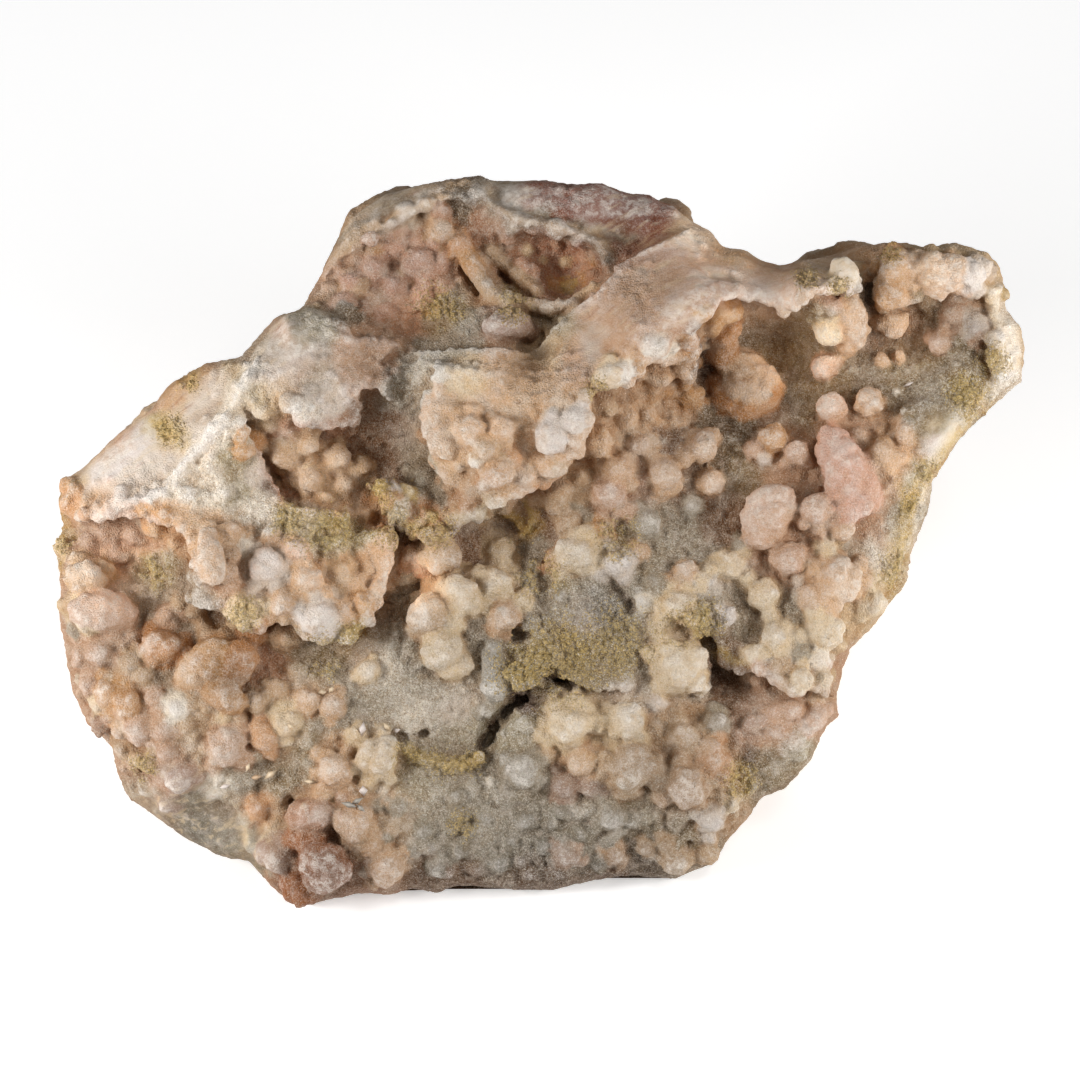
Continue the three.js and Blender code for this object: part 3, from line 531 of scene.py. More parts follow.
@dataclass(frozen=True)
class Relief:
    """The face as a height c over (a, b), and the closed body behind it.

    Attributes:
        centre: Place from which the directions to the rim are measured, in millimetres.
        softness: How rounded the smooth surface is at each given height, in millimetres.
        rim_drop: How far the face rolls back at the rim, in millimetres.
        rim_start: Share of the way to the rim at which the roll starts.
        body_depth: How far the body reaches behind the face, in millimetres.
        side_taper: How much narrower the body gets towards the back.
        cap: Angle from the pole of the ball that the face takes up.
        portions: How many portions the points are worked through in, to save memory.
        frame: Where the face lies in the part.
    """

    centre: Place = (0.0, 55.0)
    softness: float = 3.0
    rim_drop: float = 5.0
    rim_start: float = 0.88
    body_depth: float = 88.0
    side_taper: float = 0.14
    cap: float = math.radians(122)
    portions: int = 40
    frame: FaceFrame = FaceFrame()

    def _spread(self, a: Array, b: Array) -> Array:
        knots = np.array(HEIGHTS, float)
        return np.sqrt(
            (a[:, None] - knots[:, 0]) ** 2 + (b[:, None] - knots[:, 1]) ** 2 + self.softness**2
        )

    def detail(self, a: Array, b: Array) -> Array:
        """Height of the ledges and creases alone."""
        return sum(form.height(a, b) for form in LEDGES + CREASES)

    def weights(self) -> Array:
        """Weights of the smooth surface that, with the detail, meets every given height."""
        a, b, c = np.array(HEIGHTS, float).T
        return np.linalg.solve(self._spread(a, b), c - self.detail(a, b))

    def ground(self, a: Array, b: Array) -> Array:
        """Height of the ground between the lumps."""
        weights = self.weights()
        smooth = np.concatenate([
            self._spread(part_a, part_b) @ weights
            for part_a, part_b in zip(np.array_split(a, self.portions), np.array_split(b, self.portions))
        ])
        return smooth + self.detail(a, b)

    def rim_reach(self, angle: Array) -> Array:
        """Distance from the centre to the rim in each direction."""
        rim = np.array(RIM, float) - self.centre
        turns = np.arctan2(rim[:, 1], rim[:, 0])
        order = np.argsort(turns)
        start, end = rim[order], np.roll(rim[order], -1, axis=0)
        slot = np.searchsorted(turns[order], angle, side="right") - 1
        start, end = start[slot], end[slot]
        side = end - start
        cross = np.cos(angle) * side[:, 1] - np.sin(angle) * side[:, 0]
        return (start[:, 0] * side[:, 1] - start[:, 1] * side[:, 0]) / cross

    def covers(self, a: Array, b: Array, margin: Array) -> Array:
        """Whether places lie on the face, at least a margin within its rim."""
        out_a, out_b = a - self.centre[0], b - self.centre[1]
        return np.hypot(out_a, out_b) < self.rim_reach(np.arctan2(out_b, out_a)) - margin

    def height(self, a: Array, b: Array) -> Array:
        """Height of the face: the ground, rolled back near the rim."""
        out_a, out_b = a - self.centre[0], b - self.centre[1]
        share = np.hypot(out_a, out_b) / self.rim_reach(np.arctan2(out_b, out_a))
        roll = np.clip((share - self.rim_start) / (1 - self.rim_start), 0, 1)
        return self.ground(a, b) - self.rim_drop * (1 - np.sqrt(1 - roll**2))

    def body_points(self, directions: Array) -> Array:
        """Places the points of a unit ball on the body's surface.

        Args:
            directions: Unit vectors whose pole looks out of the face.

        Returns:
            Points of the part, in millimetres.
        """
        polar = np.arccos(np.clip(directions[:, 2], -1, 1))
        angle = np.arctan2(directions[:, 1], directions[:, 0])
        reach = self.rim_reach(angle)
        on_face = np.minimum(np.sin(polar / 2) / math.sin(self.cap / 2), 1)
        face_a = self.centre[0] + on_face * reach * np.cos(angle)
        face_b = self.centre[1] + on_face * reach * np.sin(angle)
        turn = np.maximum(polar - self.cap, 0) / (math.pi - self.cap) * math.pi / 2
        depth = np.sin(turn) ** (2 / 3)
        narrowing = np.maximum(np.cos(turn), 0) ** (2 / 3) * (1 - self.side_taper * depth)
        c = self.height(face_a, face_b) * (1 - depth) - self.body_depth * depth
        share = on_face * narrowing
        return self.frame.to_part(
            self.centre[0] + share * reach * np.cos(angle),
            self.centre[1] + share * reach * np.sin(angle),
            c,
        )


# Broken faces: outward direction and distance from the origin, in millimetres.
BREAKS: tuple[tuple[Spot, float], ...] = (
    ((0, 1, 0), 47),
    ((0.1, 0.8, -0.6), 31),
    ((-0.72, 0.62, -0.3), 57),
    ((0.78, 0.5, -0.38), 53),
    ((-0.82, -0.1, -0.56), 53),
    ((0.72, -0.1, -0.69), 37),
)


# ---------------------------------------------------------------- mesh helpers


def deselect() -> None:
    """Leaves nothing selected."""
    bpy.ops.object.select_all(action="DESELECT")


def make_active(item: bpy.types.Object) -> None:
    """Selects one object alone and makes it active."""
    deselect()
    item.select_set(True)
    bpy.context.view_layer.objects.active = item


def read_points(item: bpy.types.Object) -> Array:
    """Reads an object's vertices as an array of rows."""
    flat = np.empty(len(item.data.vertices) * 3, np.float32)
    item.data.vertices.foreach_get("co", flat)
    return flat.reshape(-1, 3).astype(float)


def write_points(item: bpy.types.Object, points: Array) -> None:
    """Moves an object's vertices to the given rows."""
    item.data.vertices.foreach_set("co", points.astype(np.float32).ravel())
    item.data.update()


def read_triangles(item: bpy.types.Object) -> Array:
    """Reads the vertices of each triangle of an object as an array of rows."""
    corners = np.empty(len(item.data.polygons) * 3, np.int32)
    item.data.polygons.foreach_get("vertices", corners)
    return corners.reshape(-1, 3)


def unit_ball(fineness: int) -> bpy.types.Object:
    """Adds a ball of radius 1 m made of triangles."""
    deselect()
    bpy.ops.mesh.primitive_ico_sphere_add(subdivisions=fineness, radius=1)
    return bpy.context.active_object


def apply_modifier(item: bpy.types.Object, kind: str, **settings: object) -> None:
    """Adds a modifier with the given settings and applies it."""
    make_active(item)
    modifier = item.modifiers.new(kind.lower(), kind)
    for name, value in settings.items():
        setattr(modifier, name, value)
    bpy.ops.object.modifier_apply(modifier=modifier.name)


def cut_away(item: bpy.types.Object, point: Array, outward: Array) -> None:
    """Cuts off what lies past a plane and closes the cut.

    Args:
        item: The closed mesh object.
        point: A point of the plane, in metres.
        outward: The plane's normal, towards what goes.
    """
    make_active(item)
    bpy.ops.object.mode_set(mode="EDIT")
    bpy.ops.mesh.select_all(action="SELECT")
    bpy.ops.mesh.bisect(plane_co=tuple(point), plane_no=tuple(outward), use_fill=True, clear_outer=True)
    bpy.ops.object.mode_set(mode="OBJECT")


def join(items: list[bpy.types.Object]) -> bpy.types.Object:
    """Joins mesh objects into the first."""
    make_active(items[0])
    for item in items:
        item.select_set(True)
    bpy.ops.object.join()
    return items[0]


# ---------------------------------------------------------------- lumps

LUMP_RISE = 0.36  # a lump's centre stands this share of its radius above the ground
PROUD_RISE = 0.3  # and this much more where the lumps stand proud

LUMPS: dict[Tint, tuple[Spot, ...]] = {
    Tint.AMBER: ((-58.4, 39.9, 3.3), (-44, 42.2, 2.3)),
    Tint.ORANGE: (
        (-6.8, 66.6, 2.3), (-4.4, 69.4, 1.8), (-10.6, 63.6, 2), (-72.4, 62, 2.4), (-73, 65, 1.8),
        (-42.6, 26.6, 2.7), (-43.6, 15.2, 1.6), (2.4, 53.4, 2.1), (26.2, 23, 2.9), (22.8, 87, 1.8),
        (-12.4, 102.4, 2.1),
    ),
    Tint.OCHRE: (
        (-59.5, 59, 2.4), (-63.4, 31.5, 2.8), (-66.4, 33, 2.7), (-44.5, 72, 2.2), (23.2, 78.8, 2.5),
        (-39, 53, 1.8), (-27.4, 46.6, 2.2), (9, 58, 1.8), (14.8, 82.8, 1.5), (36.2, 72.2, 2.6),
        (55, 98.4, 3.2), (54.2, 95.4, 2.5), (53.8, 93.4, 1.5), (-25.4, 101, 1.7), (19, 79.6, 1.6),
        (17.4, 80.9, 1.9), (23.2, 85.2, 1.7), (23.8, 88.4, 1.5), (25, 91.2, 1.4), (7.2, 97.2, 1.4),
        (2, 96, 1.5), (8.4, 99.8, 1.2), (-16.4, 57.2, 1.6), (-23.6, 62.6, 1.6),
    ),
    Tint.PEACH: (
        (-14.8, 76, 3), (-14.2, 71.6, 3), (-13, 67.2, 2.6), (-10.8, 73.4, 2.8), (-6.2, 73.6, 2.2),
        (-16.4, 73.8, 2.2), (6.4, 75.4, 2.2), (5.2, 70.8, 2.2), (1.2, 68, 2.4), (-2.4, 66.4, 2.2),
        (-6, 67, 2.4), (-10, 65.4, 2.4), (-36, 50.6, 2.8), (-33.4, 48.2, 2.3), (-28.8, 49.8, 2),
        (-30, 46.4, 1.9), (-64.6, 27.4, 2), (-47.5, 57.5, 2.2), (-39.4, 47, 2.3), (-15.5, 77, 2.5),
        (18.4, 68, 1.8), (20.6, 81, 2), (57, 97, 2.2), (-27, 60.5, 1.6), (-30, 61, 1.4),
        (-10, 100, 1.3), (-29, 95.5, 1.7), (-17.5, 96.5, 1.6), (-26, 101, 1.5), (25.4, 24.2, 2.4),
        (-30.8, 45.4, 2.3), (-35.6, 31.6, 2.3), (-32, 31, 2.2), (-31.3, 21.4, 3),
        (-35.2, 14.6, 2.7), (-28.6, 13, 3.3), (-23.3, 6, 3.1), (-5.4, 44.8, 2.7), (8.6, 72, 3),
        (11.8, 67.6, 2.7), (15.2, 71.4, 2.1), (19.4, 67, 2.7), (25, 71, 2.7), (26.3, 65.5, 2.3),
        (18, 82.3, 2.8), (22.6, 51.4, 2.3), (45.6, 50.3, 4), (46.8, 58, 1.8), (22.4, 18.6, 3.4),
        (51, 77.8, 2.5), (54.6, 90.3, 2.9), (65.5, 90.3, 1.5), (53, 84.5, 1.3), (55.6, 85, 1.2),
        (53, 69.8, 2.8), (-28.2, 95.8, 2), (-22.2, 97, 1.8), (-15.4, 104.4, 2.2), (6.6, 22.3, 2.6),
        (13, 75.4, 2.4), (16.6, 76, 1.8), (15.5, 54.8, 1.5), (60.6, 98.2, 3.3), (57.8, 99, 2.6),
        (63.6, 98.6, 2.5), (11.4, 8.2, 2),
    ),
    Tint.SALMON: (
        (-15.6, 99, 1.8), (-20.8, 100.8, 1.6), (-15.3, 107.4, 1.7), (-24.6, 97.7, 1.7),
        (-24, 94.8, 1.5), (-20.6, 92.6, 1.5), (-28, 96, 1.5), (-26, 103.2, 1.4), (-4, 100.6, 1.1),
        (2.6, 102.6, 1), (-15.2, 96.4, 1.4), (-27, 92.6, 1.3), (-31, 98.2, 1.4), (-17.8, 96.8, 1.6),
        (-22.4, 101, 1.6), (-18.4, 103.6, 1.8), (7, 100.4, 1.4), (8.4, 97.6, 1.4), (-5, 103, 1.2),
    ),
    Tint.PINK: (
        (-18.6, 99.3, 2.9), (-22.8, 95.6, 2.3), (-25.8, 98.8, 2.2), (-22.4, 102.4, 2.1),
        (-29.4, 96.4, 2), (-16.4, 102.6, 1.6), (-30.6, 93.4, 1.7), (-18.2, 95.2, 1.7),
        (-24.4, 92.4, 1.6),
    ),
    Tint.ROSE: (
        (-37.6, 55, 2.2), (-57.7, 44.9, 1.9), (-68, 39.3, 2.4), (-70.6, 38.4, 2),
        (-69.5, 34.5, 2.2), (-59.3, 32.5, 1.8), (-58.4, 30.4, 1.4), (-61.6, 27.4, 2.8),
        (-58.2, 27.3, 2), (-48.3, 25, 3.4), (-57.5, 24, 1.8), (-19.4, 54, 2.4), (10.6, 63.6, 2.9),
        (42.4, 61.2, 2.8), (38.4, 53.8, 3), (39.7, 70, 2.3), (42.4, 29.2, 2.4), (38.8, 30.4, 2),
        (36.4, 30, 1.6), (34, 35, 1.9), (43.8, 83.5, 2.2), (64, 91.6, 2), (67.8, 89, 2.2),
        (61.8, 87.2, 2), (45, 77, 2.6), (-25.4, 94, 1.8), (-22.4, 94, 1.5), (-20, 94.4, 1.2),
        (-29.6, 97.8, 1.4), (4, 8, 2.2), (-32.6, 95.6, 1.6), (33, 70.6, 1.7),
    ),
    Tint.MAUVE: (
        (-55.4, 20, 2.6), (-57.6, 15.8, 1.7), (-40.4, 7.6, 2.7), (-68, 27.8, 1.8), (3.6, 18.8, 2.2),
        (8.2, 18.7, 2), (-71, 50.6, 2.4), (-66.6, 58.2, 2.7), (-62.8, 57.8, 2.3), (-69.8, 56.4, 2),
        (-65.4, 54.4, 2.2), (-68.4, 52.4, 1.8), (5, 96, 1.2),
    ),
    Tint.TAN: (
        (-8.2, 70.6, 2.1), (-35.6, 65.8, 2.2), (-39.6, 69.6, 2.4), (-36, 71.6, 2.2),
        (-31.6, 69.4, 2.5), (-40.2, 65, 1.6), (-30.4, 65.2, 1.8), (-27.6, 68.2, 1.8),
        (-33, 63, 1.5), (-31, 51.2, 2.4), (-70.2, 50.4, 3.4), (9.6, 77.6, 2.6), (-63.2, 37.8, 2.2),
        (-61.2, 35.5, 1.8), (-66, 35, 1.7), (-60.6, 22.6, 2.2), (-51, 41.6, 2), (-48.4, 41.6, 2),
        (-53, 45.6, 1.7), (-55.6, 47, 1.4), (-38.6, 42.2, 2.5), (-15.3, 54.2, 3.3),
        (-17.2, 45, 3.6), (3.3, 63.6, 3.5), (10, 21.6, 2.3), (14.2, 21.6, 3.9), (1, 23.5, 1.7),
        (26.6, 13, 1.9), (22.2, 26, 2.5), (-53.8, 31.2, 1.6), (-51.6, 31.2, 1.5),
        (-64.5, 24.2, 1.9), (21, 7, 2.4), (26, 8, 2), (19.5, 9.6, 1.7), (16.4, 9, 1.5),
        (-27.6, 10, 1.8), (-43.8, 31.6, 1.8), (-40.6, 33.6, 1.8),
    ),
    Tint.CREAM: (
        (-36, 67.4, 1.5), (-6.3, 54.4, 3), (-73.3, 46.6, 1.6), (-62, 60, 1.2), (10.6, 82, 2.2),
        (25, 50.5, 1.5), (-74, 55.4, 1.7), (-45.6, 46, 2.6), (-68.3, 31.2, 1.7), (-38.8, 28.3, 2.5),
        (-25, 23.2, 3.6), (-28.4, 26.4, 1.8), (-26.5, 36.5, 2), (-33, 17.4, 1.5),
        (-12.2, 48.2, 3.3), (-15, 39.8, 3.5), (-7, 49.4, 3), (-2.8, 47.2, 1.9), (5.4, 54.4, 3.4),
        (4.6, 28, 3.6), (1.6, 26.6, 2), (13.2, 28.4, 3.2), (29.2, 52.8, 2.6), (44.2, 55, 2.2),
        (21.6, 46.6, 2.8), (19.2, 44.6, 1.5), (21.6, 37, 3.1), (19.8, 39.2, 2.5), (23.6, 38.2, 2.5),
        (20.4, 34.8, 2.5), (23.8, 34.8, 2.1), (36.4, 41.6, 2.4), (43.8, 42.4, 3.3),
        (40.4, 35.2, 1.9), (43.8, 35.2, 1.6), (44.8, 88.8, 2.7), (46.8, 97.6, 2.7),
        (51.4, 46.8, 2.5), (-2, 101.5, 1), (0.6, 100.2, 0.9), (4, 99.8, 1), (33, 39, 1.7),
        (-48.8, 29.4, 1.3), (29.4, 15.8, 1.5), (34.6, 48.2, 2.7),
    ),
    Tint.WHITE: (
        (14.2, 66.6, 0.9), (-9.7, 67.2, 1), (-36, 67, 0.8), (16.4, 85.8, 1), (18.2, 86, 1.3),
        (20.4, 86, 1.1), (-51.8, 35.5, 1.1), (21.3, 50.6, 0.9), (31, 52, 1.1), (37, 62, 1.2),
        (18.8, 37, 1), (22, 35.4, 1.2), (5.6, 28.4, 1.3), (-71.4, 35, 0.9), (-45.4, 55.6, 1.7),
        (-21.8, 60.8, 1.6), (-9.6, 68.8, 1.5), (-5.2, 70.8, 0.9), (42.6, 38.4, 2.2),
        (12.6, 82.4, 1.8), (-24.2, 18, 0.9), (-55.8, 30.8, 2), (16, 47.4, 1.5), (-7.5, 19.5, 0.8),
        (55, 79.6, 0.6),
    ),
    Tint.LILAC: (
        (66.2, 97.6, 2.8), (68.4, 98.6, 1.9), (1.8, 72.4, 2.9), (-41.8, 52.2, 3.3),
        (-34.2, 44.8, 3), (12, 53, 2.6), (9.2, 51.8, 1.6), (5.3, 75, 2.3), (67.6, 90, 2.4),
        (17.8, 31.2, 1.4), (40, 50.3, 1.2), (26, 13.8, 2.2), (28.8, 45, 1.8), (-64.3, 43, 1.2),
        (-27.2, 5.5, 1), (34.6, 69, 1.2),
    ),
    Tint.STONE: (
        (-22, 15.4, 1.5), (-18, 11.6, 1.7), (-12.4, 8.6, 1.5), (-6, 6.8, 1.7), (0.6, 9.4, 1.5),
        (6, 11.4, 1.4), (-16, 6, 1.7), (-8.6, 14, 1.4), (-2, 13.4, 1.5), (9, 7, 1.5),
        (-20, 8.6, 1.4), (-13, 16.8, 1.4), (3.4, 14.6, 1.4), (-24, 10.8, 1.5), (-10.6, 11.6, 1.2),
        (-4.4, 10.2, 1.2),
    ),
    Tint.GREY: (
        (6, 62, 1.8), (17.5, 50, 1.6), (-17.5, 66, 2.5), (-8.4, 30.4, 1.6), (-2.6, 21, 3.1),
        (-5, 19, 1.3), (11.2, 14, 2.5), (14, 13.5, 1.8), (27, 28.2, 2.4), (16.5, 59, 2.6),
        (23.8, 62, 1.7), (3.2, 48, 1.3), (-25.3, 15.6, 1.1), (40.2, 39.4, 1.8), (31.4, 55.6, 1.8),
        (-72, 42.8, 1.3), (-0.8, 52.7, 1.3),
    ),
    Tint.YELLOW: (
        (-24.6, 65, 1.2), (-16.6, 60, 1.2),
        (-29.3, 42.6, 1.2), (-9.4, 23.2, 1.2), (4.4, 95.6, 1.4), (72, 94.6, 1.1), (-20, 64, 1.3),
    ),
}


LOBE_SHARES = (0, 0.33, 0.67)  # shares of the way between two places of a lobe that get a lump

# Long lobes: tint and the places and radii along each.
LOBES: tuple[tuple[Tint, tuple[Spot, ...]], ...] = (
    (Tint.OCHRE, ((29.6, 92, 2.2), (27, 91.4, 2.2), (26.4, 89.4, 2))),
    (Tint.AMBER, ((29.8, 89.6, 1.8), (28.2, 87.6, 2.3), (28.4, 85.2, 2.6))),
    (Tint.PEACH, ((30.2, 83.4, 3), (32.6, 82.6, 3.2), (34.6, 80.6, 3))),
    (Tint.PEACH, ((30.4, 80, 3.4), (33, 78.8, 3.1))),
    (Tint.AMBER, ((27.8, 80.6, 2.2), (29, 78, 2.2), (31.8, 76.8, 2), (35.2, 78, 1.8), (36.6, 80, 1.5))),
    (Tint.PINK, ((44.8, 72.4, 2.4), (46, 70, 3.4), (47.2, 67.2, 3.6))),
    (Tint.PINK, ((48.6, 68.8, 2.4), (50, 65.6, 2.6), (50.8, 62.8, 2.2))),
    (Tint.PINK, ((46.6, 65, 3.2), (48, 62.6, 3.4), (46.4, 60.8, 2.4))),
    (Tint.ROSE, ((36, 62, 3.9), (34.8, 60.2, 4), (34.2, 57.4, 2.9))),
    (Tint.PEACH, ((47.2, 94, 2), (47.8, 91.4, 2.9), (48.2, 88.8, 2.9), (47.6, 86.2, 1.6))),
    (Tint.SLATE, ((-7.3, 39.8, 1.8), (-7.2, 36.6, 2), (-7, 33.8, 2.3))),
    (Tint.ROSE, ((-69.8, 45.4, 3), (-67, 45.8, 3.4), (-64.6, 45.2, 2.8))),
    (Tint.CREAM, ((-71, 46.4, 2), (-69.6, 44, 2.2))),
    (Tint.PEACH, ((-51, 57, 1.8), (-50.6, 54.5, 2.2), (-50, 51.6, 2.2))),
    (Tint.AMBER, ((-46, 38.6, 3), (-47.4, 37, 3.3))),
    (Tint.OCHRE, ((-50.4, 38.6, 3.6), (-51.2, 37, 3.4))),
    (Tint.PEACH, ((-53, 36.6, 3), (-54.6, 35, 2))),
    (Tint.OCHRE, ((-50.4, 33.2, 1.9), (-48, 32.6, 2.6), (-46.6, 31.4, 1.8))),
    (Tint.YELLOW, (
        (-5.4, 60.8, 0.9), (-3.2, 59.6, 0.9), (-2.5, 57.6, 1), (-1.1, 58.4, 0.9), (-0.8, 60.8, 1),
        (-1.8, 63, 1),
    )),
    (Tint.MAUVE, ((-7, 89.5, 2.1), (-5, 90, 2.5), (-3, 89.8, 2.3), (-1.7, 88.6, 1.6))),
    (Tint.BRICK, ((-34.2, 7.4, 3.3), (-33, 6, 4))),
    (Tint.BRICK, ((-38.4, 3.6, 2.2), (-36.8, 3, 3.1), (-35.4, 2.8, 2.6))),
    (Tint.BRICK, ((-38.4, 10.6, 1.7), (-36, 10.2, 2.2), (-34, 11, 1.7))),
    (Tint.SALMON, ((-36.8, 14, 2.6), (-34.4, 13.8, 2.9), (-33, 14.2, 2))),
    (Tint.OCHRE, ((-11.2, 100.6, 1.8), (-9.8, 98, 1.7))),
    (Tint.TAN, ((-9, 96.4, 1.6), (-7.4, 94.6, 1.5), (-5, 93, 1.4))),
    (Tint.TAN, ((-7.6, 101.4, 1.2), (-5.6, 99.4, 1.3), (-3, 97.2, 1.3), (-0.6, 95.2, 1.3))),
    (Tint.TAN, ((-5, 93.6, 1.7), (-1.6, 92.8, 1.5), (2, 92.6, 1.2), (5, 93.2, 1.2), (8.4, 95.6, 1.2))),
)


@dataclass(frozen=True)
class Lump:
    """A round lump of the crust, in millimetres of the face frame."""

    a: float
    b: float
    radius: float
    tint: Tint

    @staticmethod
    def named() -> list["Lump"]:
        """All the lumps that are placed by name of their tint."""
        return [Lump(*spot, tint) for tint, spots in LUMPS.items() for spot in spots]

    @staticmethod
    def of_lobes() -> list["Lump"]:
        """Rows of overlapping lumps that make up the long lobes."""
        rows = []
        for tint, spots in LOBES:
            for start, end in itertools.pairwise(np.array(spots, float)):
                rows += [Lump(*(start + share * (end - start)), tint) for share in LOBE_SHARES]
            rows.append(Lump(*spots[-1], tint))
        return rows


# ---------------------------------------------------------------- where the colours lie

GROUND_FALL = 2.2  # how sharply a spot of ground colour falls off
FAINT = 1e-9  # weight of the plain colour under all spots

